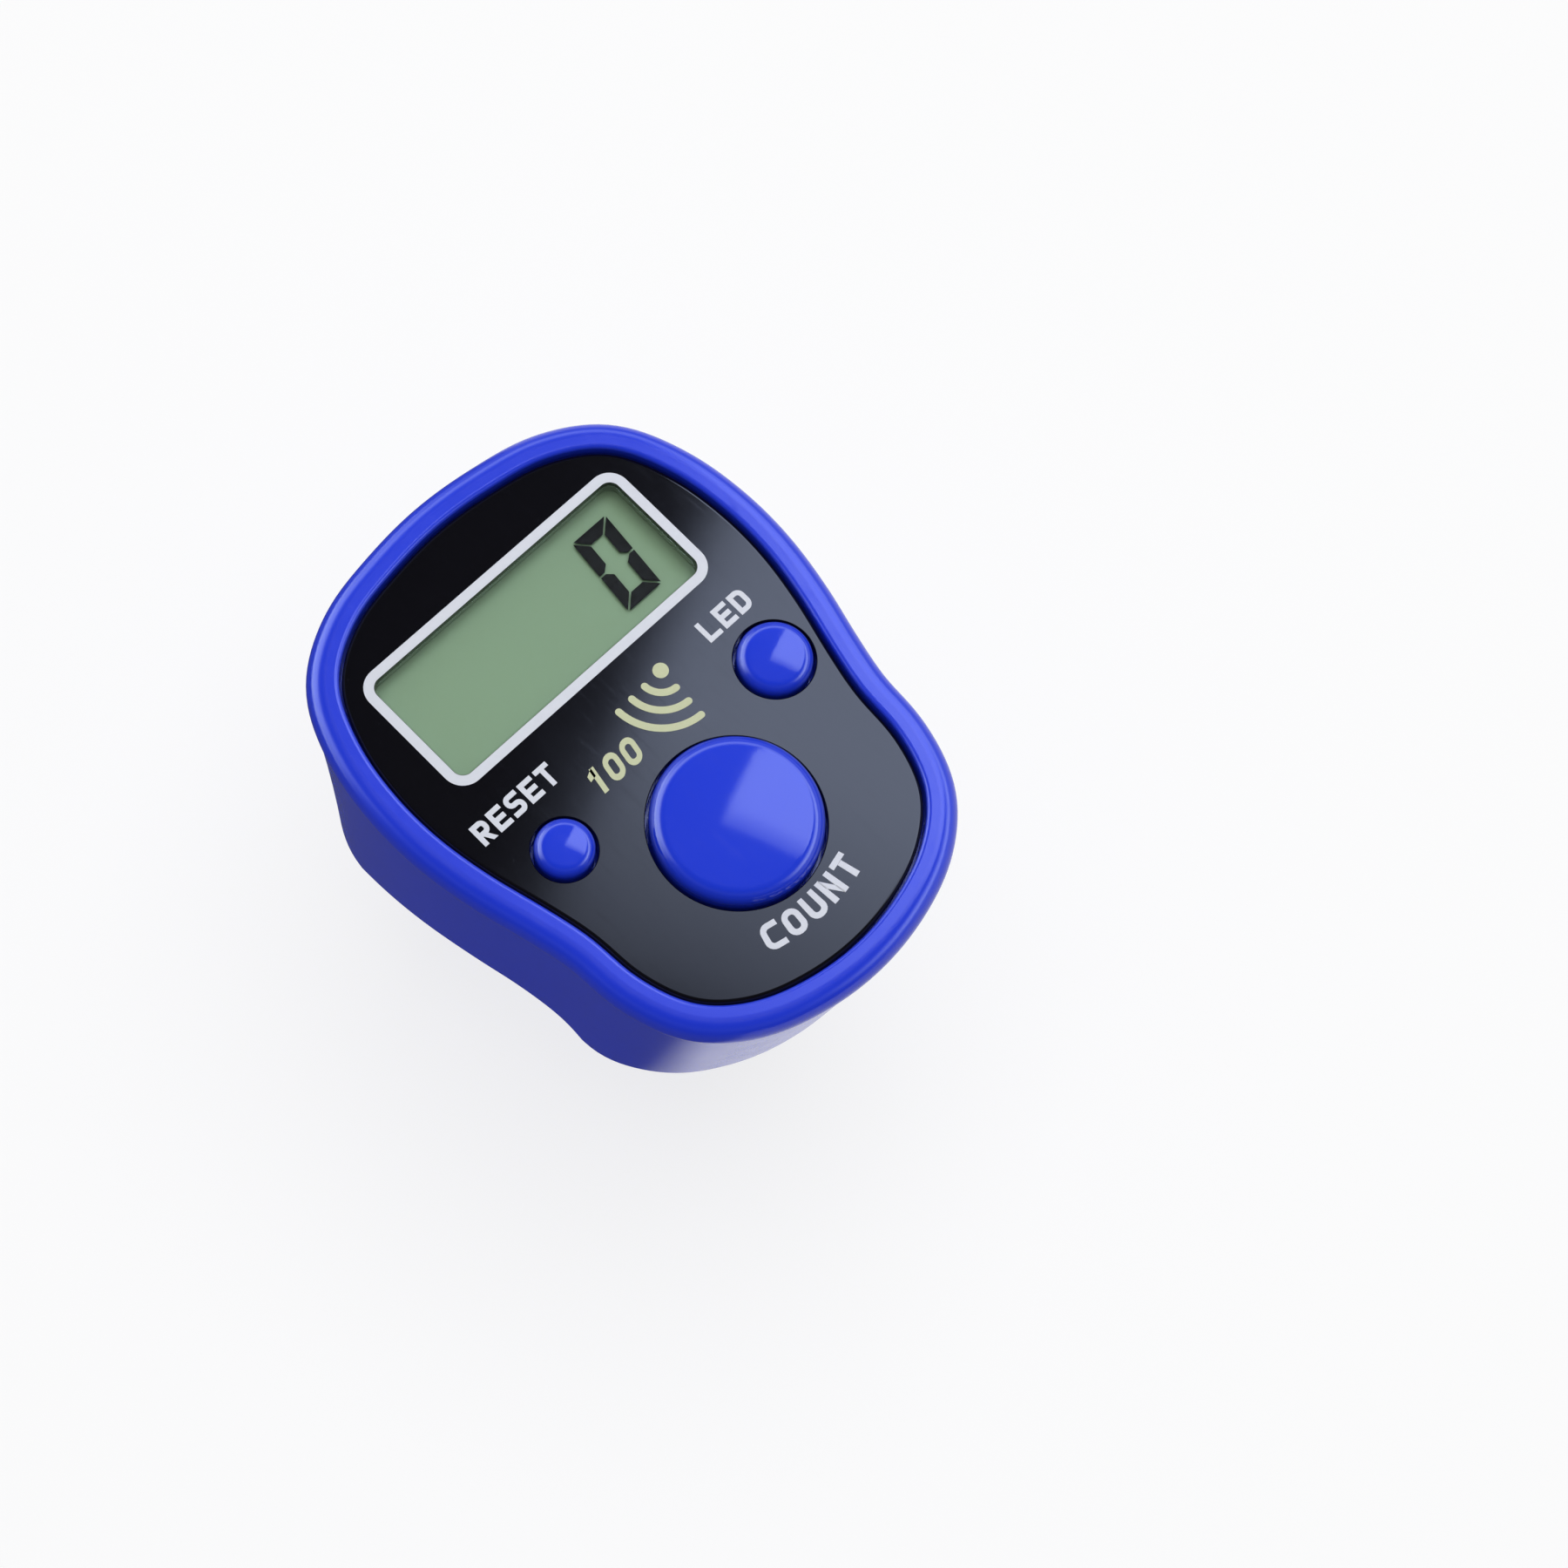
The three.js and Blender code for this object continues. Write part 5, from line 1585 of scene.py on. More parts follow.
@dataclass(frozen=True)
class Glyphs:
    """A plain rounded alphabet of strokes, each letter in a cell of height 1."""

    width: float = 0.72
    stroke: float = 0.22
    corner: float = 0.23
    tight: float = 0.18
    corner_steps: int = 5
    space: float = 0.17

    def strokes(self, letter: str) -> tuple[list[list[Corner]], list[list[Point2]]]:
        """Returns a letter's strokes and its filled shapes.

        Args:
            letter: A capital letter or figure.

        Returns:
            Middle lines, whose corners carry their radius, and filled shapes. A line that ends where it starts
            closes on itself.
        """
        w, t, c, s = self.width, self.stroke, self.corner, self.tight
        x0, x1, y0, y1, ym = t / 2, w - t / 2, t / 2, 1 - t / 2, 0.5
        bowl, stem, flag, b = ym - 0.04, w * 0.62, w * 0.62 - t / 2, t * 0.92
        ring = [(x0, y0, c), (x1, y0, c), (x1, y1, c), (x0, y1, c), (x0, y0, c)]
        shapes: dict[str, tuple[list[list[Corner]], list[list[Point2]]]] = {
            "O": ([ring], []),
            "0": ([ring], []),
            "C": ([[(w, y1, 0), (x0, y1, c), (x0, y0, c), (w, y0, 0)]], []),
            "U": ([[(x0, 1, 0), (x0, y0, c), (x1, y0, c), (x1, 1, 0)]], []),
            "D": ([[(x0, y0, 0), (x1, y0, c), (x1, y1, c), (x0, y1, 0), (x0, y0, 0)]], []),
            "E": ([[(w, y1, 0), (x0, y1, 0), (x0, y0, 0), (w, y0, 0)], [(t, ym, 0), (w * 0.92, ym, 0)]], []),
            "L": ([[(x0, 1, 0), (x0, y0, 0), (w, y0, 0)]], []),
            "T": ([[(0, y1, 0), (w, y1, 0)], [(w / 2, 1 - t, 0), (w / 2, 0, 0)]], []),
            "N": (
                [[(x0, 0, 0), (x0, 1, 0)], [(x1, 0, 0), (x1, 1, 0)]],
                [[(b, 1), (b, 0.6), (w - b, 0), (w - b, 0.4)]],
            ),
            "R": (
                [[(x0, 0, 0), (x0, y1, 0), (x1, y1, s), (x1, bowl, s), (t, bowl, 0)]],
                [[(w * 0.36, bowl - t / 2), (w * 0.36 + t * 1.1, bowl - t / 2), (w, 0), (w - t * 1.1, 0)]],
            ),
            "S": ([[(w, y1, 0), (x0, y1, s), (x0, ym, s), (x1, ym, s), (x1, y0, s), (0, y0, 0)]], []),
            "1": ([[(stem, 0, 0), (stem, 1, 0)]], [[(stem, 1), (flag - 0.2, 0.84), (flag - 0.2, 0.62), (stem, 0.68)]]),
        }
        return shapes[letter]

    def rounded(self, line: Sequence[Corner]) -> list[Point2]:
        """Turns a line's corners to arcs.

        Args:
            line: The corners, each with its radius.

        Returns:
            The line's points.
        """
        points: list[Point2] = []
        for i, (x, y, radius) in enumerate(line):
            if not radius:
                points.append((x, y))
                continue
            corner = Vector((x, y))
            before = (Vector(line[i - 1][:2]) - corner).normalized() * radius
            after = (Vector(line[(i + 1) % len(line)][:2]) - corner).normalized() * radius
            for step in range(self.corner_steps + 1):
                angle = math.pi / 2 * step / self.corner_steps
                point = corner + before * (1 - math.sin(angle)) + after * (1 - math.cos(angle))
                points.append((point.x, point.y))
        return points

    def sides(self, line: Sequence[Corner]) -> tuple[list[tuple[Point2, Point2]], bool]:
        """Widens a middle line to the stroke's two edges.

        Args:
            line: The middle line's corners.

        Returns:
            The two edge points at each station, and True if the line closes on itself.
        """
        closed = line[0] == line[-1]
        points = [Vector(p) for p in self.rounded(line[:-1] if closed else line)]
        n = len(points)
        found = []
        for i, point in enumerate(points):
            before = (point - points[i - 1]).normalized() if closed or i else None
            after = (points[(i + 1) % n] - point).normalized() if closed or i < n - 1 else None
            first, second = before or after, after or before
            out = (Vector((-first.y, first.x)) + Vector((-second.y, second.x))).normalized()
            reach = self.stroke / 2 / out.dot(Vector((-first.y, first.x)))
            found.append((tuple(point + out * reach), tuple(point - out * reach)))
        return found, closed


@dataclass(frozen=True)
class Legend:
    """A word or number printed on the plate."""

    name: str
    words: str
    centre: Point2
    width: float
    height: float
    slant: float = 0.0
    arch: float = 0.0
    cream: bool = False
    glyphs: Glyphs = field(default_factory=Glyphs)

    def build(self, z: float, thick: float) -> None:
        """Builds the print.

        Args:
            z: The surface that it lies on.
            thick: The thickness of the ink.
        """
        pitch = self.glyphs.width + self.glyphs.space
        length = pitch * len(self.words) - self.glyphs.space
        form = Form()
        for i, letter in enumerate(self.words):
            start = i * pitch - length / 2

            def put(point: Point2, start: float = start) -> Point2:
                """Places a point of the letter on the plate.

                Args:
                    point: The point in its cell.
                    start: The cell's left side.

                Returns:
                    The point on the plate.
                """
                return self.place((start + point[0]) * self.width / length, (point[1] - 0.5) * self.height)

            lines, fills = self.glyphs.strokes(letter)
            for shape in fills:
                form.prism([put(point) for point in shape], z, z + thick)
            for line in lines:
                sides, closed = self.glyphs.sides(line)
                form.strip([(put(a), put(b)) for a, b in sides], closed, z, z + thick)
        finish = CREAM_PRINT if self.cream else WHITE_PRINT
        word = form.closed().thing(f"print_{self.name}")
        dress(word, Slot.BLACK_ACRYLIC, Body.CASE, finish=finish, crease=INK_CREASE)

    def place(self, x: float, y: float) -> Point2:
        """Slants, arches and places a point of the word.

        Args:
            x: Its place along the word from the middle.
            y: Its height above the middle line.

        Returns:
            The point on the plate.
        """
        x += self.slant * y
        if self.arch:
            angle = x / self.arch
            x, y = (self.arch - y) * math.sin(angle), self.arch - (self.arch - y) * math.cos(angle)
        return (self.centre[0] + x, self.centre[1] + y)


@dataclass(frozen=True)
class Prints:
    """All that is printed on the plate: the window's border, the words and the sound sign."""

    thick: float = 0.02
    border: float = 0.66
    border_corner: float = 1.4
    sign_centre: Point2 = (3.45, 2.2)
    sign_radii: tuple[float, ...] = (1.42, 2.55, 3.7)
    sign_span: Point2 = (183, 267)
    sign_steps: int = 18
    sign_line: float = 0.46
    end_steps: int = 8
    dot_steps: int = 24
    ink_gap: float = 0.001
    window_lip: float = 0.02
    sign_dot: float = 0.5
    legends: tuple[Legend, ...] = (
        Legend("led", "LED", (8.8, 2.12), 3.75, 1.5),
        Legend("reset", "RESET", (-8.75, 2.05), 6.2, 1.5),
        Legend("count", "COUNT", (-0.3, -14.6), 7.5, 1.7, arch=13.0),
        Legend("hundred", "100", (-2.85, -0.27), 3.9, 1.75, slant=0.18, cream=True),
    )

    def build(self) -> None:
        """Builds every print."""
        z, plate = LEVELS.face + self.ink_gap, FacePlate()
        top = z + self.thick
        band = Form().prism(plate.outline(self.border, self.border_corner), z, top).thing("print_window_border")
        inside = plate.outline(self.window_lip, plate.corner)
        work(band, Operation.CUT, Form().prism(inside, z - OVERCUT_MM, z + OVERCUT_MM))
        dress(band, Slot.BLACK_ACRYLIC, Body.CASE, finish=WHITE_PRINT)
        for legend in self.legends:
            legend.build(z, self.thick)
        form, half = Form(), self.sign_line / 2
        low, high = self.sign_span
        for radius in self.sign_radii:
            form.prism([
                *arc(self.sign_centre, radius + half, low, high, self.sign_steps),
                *arc(self.on_sign(radius, high), half, high, high + 180, self.end_steps)[1:-1],
                *arc(self.sign_centre, radius - half, high, low, self.sign_steps),
                *arc(self.on_sign(radius, low), half, low - 180, low, self.end_steps)[1:-1],
            ], z, top)
        form.prism(arc(self.sign_centre, self.sign_dot, 0, 360, self.dot_steps)[:-1], z, top)
        sign = form.closed().thing("print_sound_sign")
        dress(sign, Slot.BLACK_ACRYLIC, Body.CASE, finish=CREAM_PRINT, crease=INK_CREASE)

    def on_sign(self, radius: float, degrees: float) -> Point2:
        """Finds a point of the sound sign.

        Args:
            radius: Its distance from the sign's centre.
            degrees: Its angle.

        Returns:
            The point on the plate.
        """
        return arc(self.sign_centre, radius, degrees, degrees, 1)[0]


@dataclass(frozen=True)
class Door:
    """The battery door's sizes, from which its passage through the wall is cut."""

    half_width: float = 6.4
    gap: float = 0.15
    tongue_reach: float = 0.6
    tongue_thick: float = 0.45
    bridge_half: float = 2.0
    passage_start: float = 7.2
    passage_top: float = 22.85
    band_steps: int = 28

    def band(self, inner: float, outer: float, half: float) -> Form:
        """Shapes a band of the saddle that runs out through the wall.

        Args:
            inner: Inner radius.
            outer: Outer radius.
            half: Half its width.

        Returns:
            The band.
        """
        axis = LEVELS.saddle_axis
        wide, narrow = math.degrees(math.asin(half / outer)), math.degrees(math.asin(half / inner))
        over = arc((0, axis), outer, 90 - wide, 90 + wide, self.band_steps)
        corners = over + arc((0, axis), inner, 90 + narrow, 90 - narrow, self.band_steps)
        places = [lambda i, x=x: Vector((x, *corners[i])) for x in (self.passage_start, FAR_MM)]
        return Form().sweep(len(corners), places)

    def passage(self) -> list[Form]:
        """Shapes the tools that let the door slide out through the wall.

        Returns:
            The solids to cut.
        """
        groove = LEVELS.saddle_radius + LEVELS.floor_thick + self.gap
        lip = groove - self.tongue_thick - 2 * self.gap
        half, bridge = self.half_width + self.gap, self.bridge_half + self.gap
        return [
            self.band(LEVELS.saddle_radius - OVERCUT_MM, groove, half),
            self.band(lip, groove, half + self.tongue_reach + self.gap),
            Form().block((self.passage_start, -bridge, LEVELS.foot), (FAR_MM, bridge, self.passage_top)),
        ]


@dataclass(frozen=True)
class Strap:
    """The buckled strap: a long half with holes and a short half with studs."""

    width: float = 9.0
    thick: float = 1.3
    edge: float = 0.32
    pin_y: float = 13.8
    pin_z: float = 20.1
    eye_radius: float = 1.3
    bore: float = 0.75
    flat: float = 5.0
    side_y: float = 14.6
    side_z: float = 11.6
    tail_z: float = 15.2
    layer_gap: float = 0.3
    hole_radius: float = 1.0
    hole_pitch: float = 3.0
    hole_count: int = 5
    hole_first: float = 2.4
    stud_holes: tuple[int, ...] = (1, 2)
    short_tail: float = 2.6
    long_pull: float = 16.5
    long_ease: float = 3.0
    short_pull: Point2 = (17.5, 17.9)
    short_ease: float = 0.4
    short_knee: float = 0.2
    end_steps: tuple[int, int] = (14, 12)
    bend_steps: tuple[int, int] = (24, 14)
    flat_steps: int = 6
    edge_steps: int = 4
    eye_steps: int = 48
    bore_steps: int = 32
    eye_inset: float = 0.02
    hole_lip: float = 0.12
    stud_radius: float = 0.75
    stud_rise: float = 0.2
    stud_edge: float = 0.05
    stud_steps: int = 40
    stud_crown: tuple[Point2, ...] = (
        (0.8, 0), (1.25, 0), (1.33, 0.06), (1.35, 0.15), (1.32, 0.28), (1.2, 0.42), (0.95, 0.55), (0.6, 0.62),
        (0.3, 0.645), (0, 0.65),
    )

    @staticmethod
    def bezier(p0: Point2, p1: Point2, p2: Point2, p3: Point2, steps: int) -> list[Point2]:
        """Lists the points of a Bezier curve.

        Args:
            p0: Its start.
            p1: Its first handle.
            p2: Its second handle.
            p3: Its end.
            steps: The number of steps.

        Returns:
            The points.
        """
        found = []
        for i in range(steps + 1):
            t = i / steps
            u = 1 - t
            found.append(tuple(
                u**3 * a + 3 * u * u * t * b + 3 * u * t * t * c + t**3 * d for a, b, c, d in zip(p0, p1, p2, p3)
            ))
        return found

    def long_path(self) -> list[Point2]:
        """Draws the long half's middle line.

        Returns:
            Its points, from its pin to its tail.
        """
        mid, pin, side = self.thick / 2, (self.pin_y, self.pin_z), (self.side_y, self.side_z)
        radii, steps, parts = (self.side_y - self.flat, self.side_z - mid), self.bend_steps[0], self.flat_steps
        ease = (self.side_y, self.side_z + self.long_ease)
        return [
            *self.bezier(pin, (self.pin_y, self.long_pull), ease, side, self.end_steps[0]),
            *arc((self.flat, self.side_z), radii, 0, -90, steps)[1:],
            *[(self.flat - 2 * self.flat * i / parts, mid) for i in range(1, parts)],
            *arc((-self.flat, self.side_z), radii, -90, -180, steps),
            (-self.side_y, self.tail_z),
        ]

    def short_path(self) -> list[Point2]:
        """Draws the short half's middle line.

        Returns:
            Its points, from its pin to its tail.
        """
        pitch = self.thick + self.layer_gap
        side = self.side_y - pitch
        rise = self.side_z - self.thick / 2 - pitch
        run = side - self.flat
        last = self.hole_first + self.hole_pitch * max(self.stud_holes)
        overlap = last + self.short_tail - (self.tail_z - self.side_z)
        sweep = math.degrees(overlap / ((run + rise) / 2))
        pin, end = (-self.pin_y, self.pin_z), (-side, self.tail_z + self.short_ease)
        pulls = (-self.pin_y, self.short_pull[0]), (-side, self.short_pull[1])
        return [
            *self.bezier(pin, *pulls, end, self.end_steps[1]),
            (-side, (self.tail_z + self.side_z) / 2 + self.short_knee),
            *arc((-self.flat, self.side_z), (run, rise), -180, -180 + sweep, self.bend_steps[1]),
        ]

    def section(self) -> list[Point2]:
        """Draws the strap's cross-section.

        Returns:
            Its points: across and out of the strap.
        """
        hx, hy, r = self.width / 2, self.thick / 2, self.edge
        corners = ((hx - r, -hy + r, -90), (hx - r, hy - r, 0), (-hx + r, hy - r, 90), (-hx + r, -hy + r, 180))
        arcs = [arc((cx, cy), r, start, start + 90, self.edge_steps) for cx, cy, start in corners]
        return [point for points in arcs for point in points]

    def ribbon(self, path: Sequence[Point2]) -> Form:
        """Sweeps the cross-section along a path.

        Args:
            path: The middle line, in Y and Z.

        Returns:
            The form.
        """
        section = self.section()
        places = []
        for i, point in enumerate(path):
            before, after = path[max(i - 1, 0)], path[min(i + 1, len(path) - 1)]
            along = Vector((after[0] - before[0], after[1] - before[1])).normalized()
            out = Vector((-along.y, along.x))

            def place(k: int, p: Point2 = point, o: Vector = out) -> Vector:
                """Places a point of the cross-section.

                Args:
                    k: The point's number.
                    p: The station on the middle line.
                    o: The direction out of the strap.

                Returns:
                    The point in millimetres.
                """
                across, up = section[k]
                return Vector((across, p[0] + o.x * up, p[1] + o.y * up))

            places.append(place)
        return Form().sweep(len(section), places)

    def along(self, distance: float) -> tuple[Vector, Vector]:
        """Finds a point on the long half.

        Args:
            distance: How far it lies from the tail.

        Returns:
            The point and the direction away from the finger.
        """
        path = [Vector(p) for p in reversed(self.long_path())]
        left = distance
        for a, b in zip(path, path[1:]):
            step = (b - a).length
            if left <= step:
                point = a.lerp(b, left / step)
                along = (b - a).normalized()
                return point, Vector((along.y, -along.x))
            left -= step
        raise ValueError("the strap is shorter than that")

    def across(self, profile: Sequence[Point2], distance: float) -> Form:
        """Sets a turned form square on the long half.

        Args:
            profile: Pairs of radius and height along the direction away from the finger.
            distance: How far it lies from the tail.

        Returns:
            The form.
        """
        point, out = self.along(distance)
        if point.length > (point + out).length:
            out = -out
        turn = Vector((0, 0, 1)).rotation_difference(Vector((0, out.x, out.y))).to_matrix().to_4x4()
        return Form().turn(profile, self.stud_steps).moved(Matrix.Translation((0, point.x, point.y)) @ turn)

    def crosswise(self, side: int, radius: float, reach: float, steps: int) -> Form:
        """Shapes a rod along a pin's axis.

        Args:
            side: 1 for the display end, -1 for the other end.
            radius: The rod's radius.
            reach: Half its length.
            steps: Facets round it.

        Returns:
            The form.
        """
        return Form().rod(radius, *((x, side * self.pin_y, self.pin_z) for x in (-reach, reach)), steps)

    def finish_half(self, name: str, side: int, path: Sequence[Point2], studs: list[Form], holes: list[Form]) -> None:
        """Builds one half from its middle line.

        Args:
            name: The half's name.
            side: 1 for the display end, -1 for the other end.
            path: Its middle line.
            studs: What is joined to it.
            holes: What is cut from it.
        """
        band = self.ribbon(path).in_triangles().thing(f"strap_{name}_band")
        eye = self.crosswise(side, self.eye_radius, self.width / 2 - self.eye_inset, self.eye_steps)
        work(band, Operation.JOIN, eye, *studs)
        work(band, Operation.CUT, self.crosswise(side, self.bore, FAR_MM, self.bore_steps), *holes)
        dress(band, Slot.STRAP_BLUE, Body.CASE, [f"strap_{name}_half"])

    def build(self) -> None:
        """Builds both halves."""
        r, mid, lip = self.hole_radius, self.thick / 2, self.hole_lip
        wide, over = r + lip, 3 * OVERCUT_MM
        mouth = [
            (0, -over), (wide, -over), (wide, -mid), (r, -mid + lip), (r, mid - lip), (wide, mid), (wide, over),
            (0, over),
        ]
        foot, head, stem = -self.thick - self.layer_gap, mid + self.stud_rise, self.stud_radius
        crown = [(radius, head + rise) for radius, rise in self.stud_crown]
        stud = [(0, foot), (stem, foot), (stem, head - self.stud_edge), *crown]
        spots = [self.hole_first + i * self.hole_pitch for i in range(self.hole_count)]
        holes = [self.across(mouth, spot) for spot in spots]
        studs = [self.across(stud, spots[i]) for i in self.stud_holes]
        self.finish_half("long", 1, self.long_path(), [], holes)
        self.finish_half("short", -1, self.short_path(), studs, [])


@dataclass(frozen=True)
class Refined:
    """A node whose merged copy gets smooth curves and broken edges, in place of the node."""

    node: str
    slot: Slot
    body: Body = Body.CASE
    edge: float = 0.0
    sharp_degrees: float = 24.0
    bevel_degrees: float = 40.0

    def build(self) -> None:
        """Builds the piece."""
        source = frame["nodes"][self.node]
        bm = bmesh.new()
        bm.from_mesh(source.data)
        bmesh.ops.transform(bm, matrix=source.matrix_world, verts=bm.verts)
        bmesh.ops.remove_doubles(bm, verts=bm.verts, dist=NODE_WELD)
        bmesh.ops.dissolve_limit(bm, angle_limit=math.radians(FLAT_DEGREES), verts=bm.verts, edges=bm.edges)
        if self.edge:
            limit = math.radians(self.bevel_degrees)
            sharp = [e for e in bm.edges if len(e.link_faces) == 2 and e.calc_face_angle(0) > limit]
            bevel(bm, sharp, self.edge * MM, 2, clamp=False)
        mesh = bpy.data.meshes.new(f"{self.node}_skin")
        bm.to_mesh(mesh)
        bm.free()
        piece = linked(f"{self.node}_skin", mesh)
        dress(piece, self.slot, self.body, [self.node], crease=self.sharp_degrees)


@dataclass(frozen=True)
class Carried:
    """The frame's own nodes, whose meshes stay as they are."""

    def build(self) -> None:
        """Gives each node the finish of its slot."""
        slots = {part["node"]: part["material_slot"] for part in frame["record"]["subparts"]}
        for name, thing in frame["nodes"].items():
            finish = ZEBRA if name == "zebra_strip" else Slot(slots[name])
            thing.data.materials.clear()
            thing.data.materials.append(PALETTE.get(finish))


REFINED = (
    Refined("lower_casing", Slot.CASE_BLUE, edge=0.05),
    Refined("battery_door", Slot.CASE_BLUE, Body.DOOR, edge=0.05),
    *(Refined(f"casing_screw_{i}", Slot.STEEL, edge=0.04) for i in range(1, 5)),
    *(Refined(f"board_screw_{i}", Slot.STEEL) for i in range(1, 3)),
    *(Refined(f"button_cell_{i}", Slot.STEEL) for i in range(1, 3)),
    Refined("strap_pin_display_end", Slot.STEEL),
    Refined("strap_pin_count_end", Slot.STEEL),
    Refined("buzzer_disc", Slot.BRASS),
    Refined("circuit_board", Slot.BOARD_GREEN),
    Refined("lcd_holder", Slot.WHITE_PLASTIC),
    Refined("keypad_mat", Slot.GREY_RUBBER),
)


# The studio


@dataclass(frozen=True)
class Studio:
    """The floor, the light and the camera."""

    floor_size: float = 6.0
    floor_shades: tuple[Colour, Colour] = ((0.85, 0.85, 0.86), (0.88, 0.88, 0.89))
    # Painted shade: the dark tone, and the fade and stops of the line that bounds it, which only mirrors see on the
    # floor.
    painted_mirror_shade: Colour = (0.04, 0.04, 0.05)
    painted_shade_fade: float = 0.04
    painted_shade_stops: Stops = ((0.25, 1.0), (0.42, 0.06))
    far_scale: float = 0.6
    far_stops: Stops = ((0.15, 0.0), (0.8, 1.0))
    camera_mm: tuple[float, float, float] = (-56.46, -43.28, 228.69)
    camera_turn: tuple[float, float, float, float] = (0.91312, 0.13482, -0.10372, -0.37051)
    lens: float = 80.0
    sensor: float = 36.0
    card_edge: Point2 = (0.165, 0.134)
    card_turn: float = 23.5
    card_size: Point2 = (0.7, 0.4)
    card_fade: float = 0.055
    card_height: float = 0.6326
    card_radiance: float = 4.6
    card_colour: Colour = (0.63, 0.73, 1.0)
    card_stops: Stops = ((0.0, 0.3), (0.62, 1.0))
    card_mottle: float = 0.1
    key_place: tuple[float, float, float] = (0.12, 0.06, 0.6)
    key_size: Point2 = (0.6, 0.5)
    key_radiance: float = 2.45
    sky_level: float = 0.5
    fill_colour: Colour = (0.97, 0.98, 1.0)
    horizon: float = 6.0
    horizon_colour: Colour = (0.8, 0.92, 1.0)
    lit_way: Point2 = (0.8, 0.6)
    back_way: Point2 = (-0.5, 0.86)
    fill_stops: Stops = ((0.0, 0.25), (1.0, 1.0))
    height_stops: Stops = ((0.0, 1.0), (0.52, 0.8), (0.72, 0.05), (0.85, 0.01))
    raised_stops: Stops = ((0.28, 0.0), (0.42, 1.0))
    behind_stops: Stops = ((0.6, 0.2), (0.85, 1.0))
    turn_stops: Stops = ((0.05, 0.03), (0.25, 0.07), (0.45, 0.9), (0.56, 1.0), (0.75, 0.9), (1.0, 0.4))
    backdrop: float = 1.08
    backdrop_share: float = 0.72

    def build(self) -> None:
        """Builds the studio."""
        self.make_camera()
        self.make_floor()
        self.make_sky()
        self.make_card()
        self.make_key()
        bpy.context.scene.view_settings.view_transform = "Standard"

    @staticmethod
    def sheet(name: str, size: Point2, matrix: Matrix, material: bpy.types.Material) -> bpy.types.Object:
        """Lays a flat sheet that belongs to the stage.

        Args:
            name: The sheet's name.
            size: Its sides in metres.
            matrix: Its place and turn.
            material: Its material.

        Returns:
            The sheet.
        """
        bm = bmesh.new()
        placed = matrix @ Matrix.Diagonal((*size, 1, 1))
        bmesh.ops.create_grid(bm, x_segments=1, y_segments=1, size=0.5, matrix=placed)
        mesh = bpy.data.meshes.new(name)
        bm.to_mesh(mesh)
        bm.free()
        mesh.materials.append(material)
        made = linked(name, mesh)
        return made

    def make_camera(self) -> None:
        """Sets the camera at the photograph's viewing angle."""
        data = bpy.data.cameras.new("camera")
        data.sensor_width = self.sensor
        data.lens = self.lens
        data.clip_start = MM
        camera = linked("camera", data)
        camera.location = [v * MM for v in self.camera_mm]
        camera.rotation_mode = "QUATERNION"
        camera.rotation_quaternion = Quaternion(self.camera_turn)
        bpy.context.scene.camera = camera

    def make_floor(self) -> None:
        """Lays the pale floor, which is clear from below and which mirrors see with painted shade beside the case."""
        recipe = Recipe.surface("floor_white")
        seen, mirrored = recipe.rays()
        x, y, _ = recipe.axes(recipe.place())
        # Painted shade: to a mirrored ray the floor turns dark on the -X side of a line beside the case and glows only
        # on the other side; other rays see it unchanged.
        shade = recipe.ramp((y * 0.5 - x) * (1 / self.painted_shade_fade) + 0.25, self.painted_shade_stops)
        tone = recipe.mix(mirrored * (1 - shade), recipe.mix(recipe.noise(6, 3), *self.floor_shades), self.painted_mirror_shade)
        matt = recipe.node("ShaderNodeBsdfDiffuse", {}, {"Color": tone})
        glow = recipe.node("ShaderNodeEmission", {}, {"Color": (1, 1, 1, 1), "Strength": self.backdrop})
        reach = recipe.node("ShaderNodeVectorMath", {"operation": "LENGTH"}, {0: recipe.place()}, "Value")
        far = recipe.ramp(reach * self.far_scale, self.far_stops)
        shown = self.backdrop_share + far * (1 - self.backdrop_share)
        above = recipe.blend(seen * shown + mirrored * shade * self.backdrop_share, matt, glow)
        below = recipe.node("ShaderNodeBsdfTransparent", {}, {})
        under = recipe.node("ShaderNodeNewGeometry", {}, {}, "Backfacing")
        material = recipe.finish(recipe.blend(under, above, below))
        self.sheet("floor", (self.floor_size, self.floor_size), Matrix.Identity(4), material)

    def make_sky(self) -> None:
        """Sets the world: soft fill, white where it is seen, and a bright low sky under a dark zenith in mirrors."""
        world = bpy.data.worlds.new("studio")
        bpy.context.scene.world = world
        recipe = Recipe(world)
        seen, mirrored = recipe.rays()
        x, y, z = recipe.axes(recipe.node("ShaderNodeTexCoord", {}, {}, "Generated"))
        lit_side = (x * self.lit_way[0] + y * self.lit_way[1]) * 0.5 + 0.5
        height = recipe.ramp(z, self.height_stops)
        raised = recipe.ramp(z, self.raised_stops)
        behind = recipe.ramp(x * self.back_way[0] + y * self.back_way[1], self.behind_stops)
        turn = recipe.ramp(lit_side, self.turn_stops)
        bright = height * turn * (behind + raised * (1 - behind)) * self.horizon
        fill = self.sky(recipe, self.fill_colour, recipe.ramp(lit_side, self.fill_stops) * self.sky_level)
        lit = recipe.blend(mirrored, fill, self.sky(recipe, self.horizon_colour, bright))
        recipe.finish(recipe.blend(seen, lit, self.sky(recipe, (1, 1, 1), self.backdrop)))

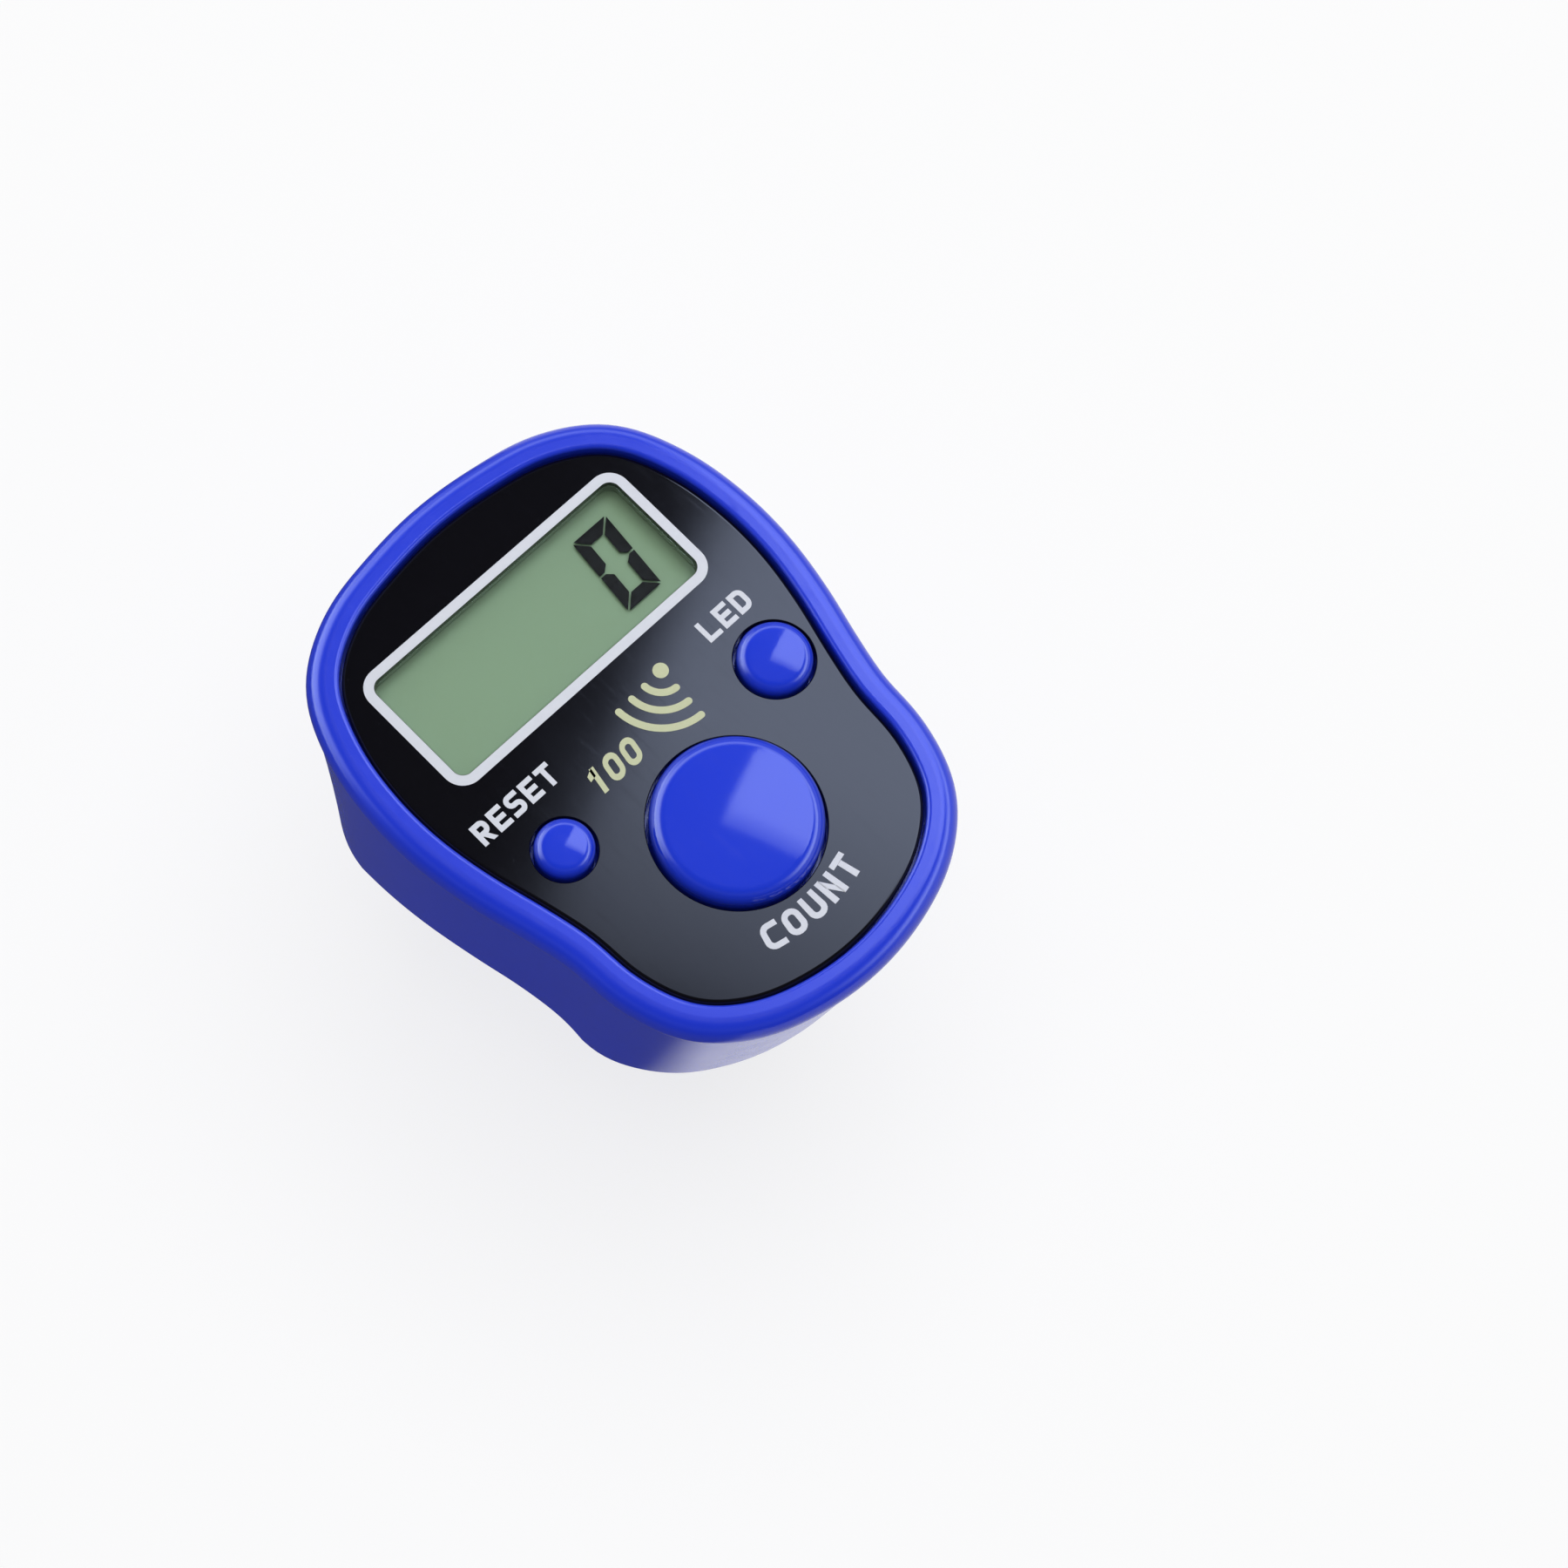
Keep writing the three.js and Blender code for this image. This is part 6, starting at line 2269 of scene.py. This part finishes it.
    @staticmethod
    def sky(recipe: Recipe, colour: Colour, strength: Signal | float) -> Signal:
        """Adds a sky of one colour.

        Args:
            recipe: The world's recipe.
            colour: The sky's colour.
            strength: Its brightness.

        Returns:
            The sky's shader.
        """
        return recipe.node("ShaderNodeBackground", {}, {"Color": (*colour, 1.0), "Strength": strength})

    def make_card(self) -> None:
        """Hangs the card that the face plate mirrors."""
        edge, turn = Vector(self.card_edge), math.radians(self.card_turn)
        along, down = Vector((math.cos(turn), math.sin(turn))), Vector((math.sin(turn), -math.cos(turn)))
        middle = edge + along * (self.card_size[0] / 2 - self.card_fade) + down * self.card_size[1] / 2
        recipe = Recipe.surface("mirror_card")
        x, y, _ = recipe.axes(recipe.place())
        way = (x - edge.x) * along.x + (y - edge.y) * along.y
        glow = recipe.ramp(way * (0.5 / self.card_fade) + 0.5, self.card_stops)
        patches = recipe.noise(3, 2) * self.card_mottle + (1 - self.card_mottle / 2)
        strength = glow * patches * self.card_radiance
        shine = recipe.node("ShaderNodeEmission", {}, {"Color": (*self.card_colour, 1.0), "Strength": strength})
        matrix = Matrix.Translation((*middle, self.card_height)) @ Matrix.Rotation(turn, 4, "Z")
        card = self.sheet("mirror_card", self.card_size, matrix, recipe.finish(shine))
        card.data.flip_normals()
        card.visible_camera = False
        card.visible_diffuse = False
        card.visible_shadow = False

    def make_key(self) -> None:
        """Hangs the soft box that gives the shade and shows in no reflection."""
        wide, high = self.key_size
        data = bpy.data.lights.new("key", "AREA")
        data.shape = "RECTANGLE"
        data.size, data.size_y = wide, high
        data.energy = self.key_radiance * math.pi * wide * high
        key = linked("key", data)
        key.location = self.key_place
        key.rotation_mode = "QUATERNION"
        key.rotation_quaternion = Quaternion((0, 0, 1), math.radians(self.card_turn))
        key.visible_glossy = False


def main() -> None:
    """Builds the studio and every sub-assembly in order."""
    logging.basicConfig(level=logging.INFO, format="%(name)s: %(message)s")
    Studio().build()
    Carried().build()
    Casing().build()
    FacePlate().build()
    for key in KEYS:
        key.build()
    Digit().build()
    Prints().build()
    Strap().build()
    for piece in REFINED:
        piece.build()


if __name__ == "__main__":
    main()
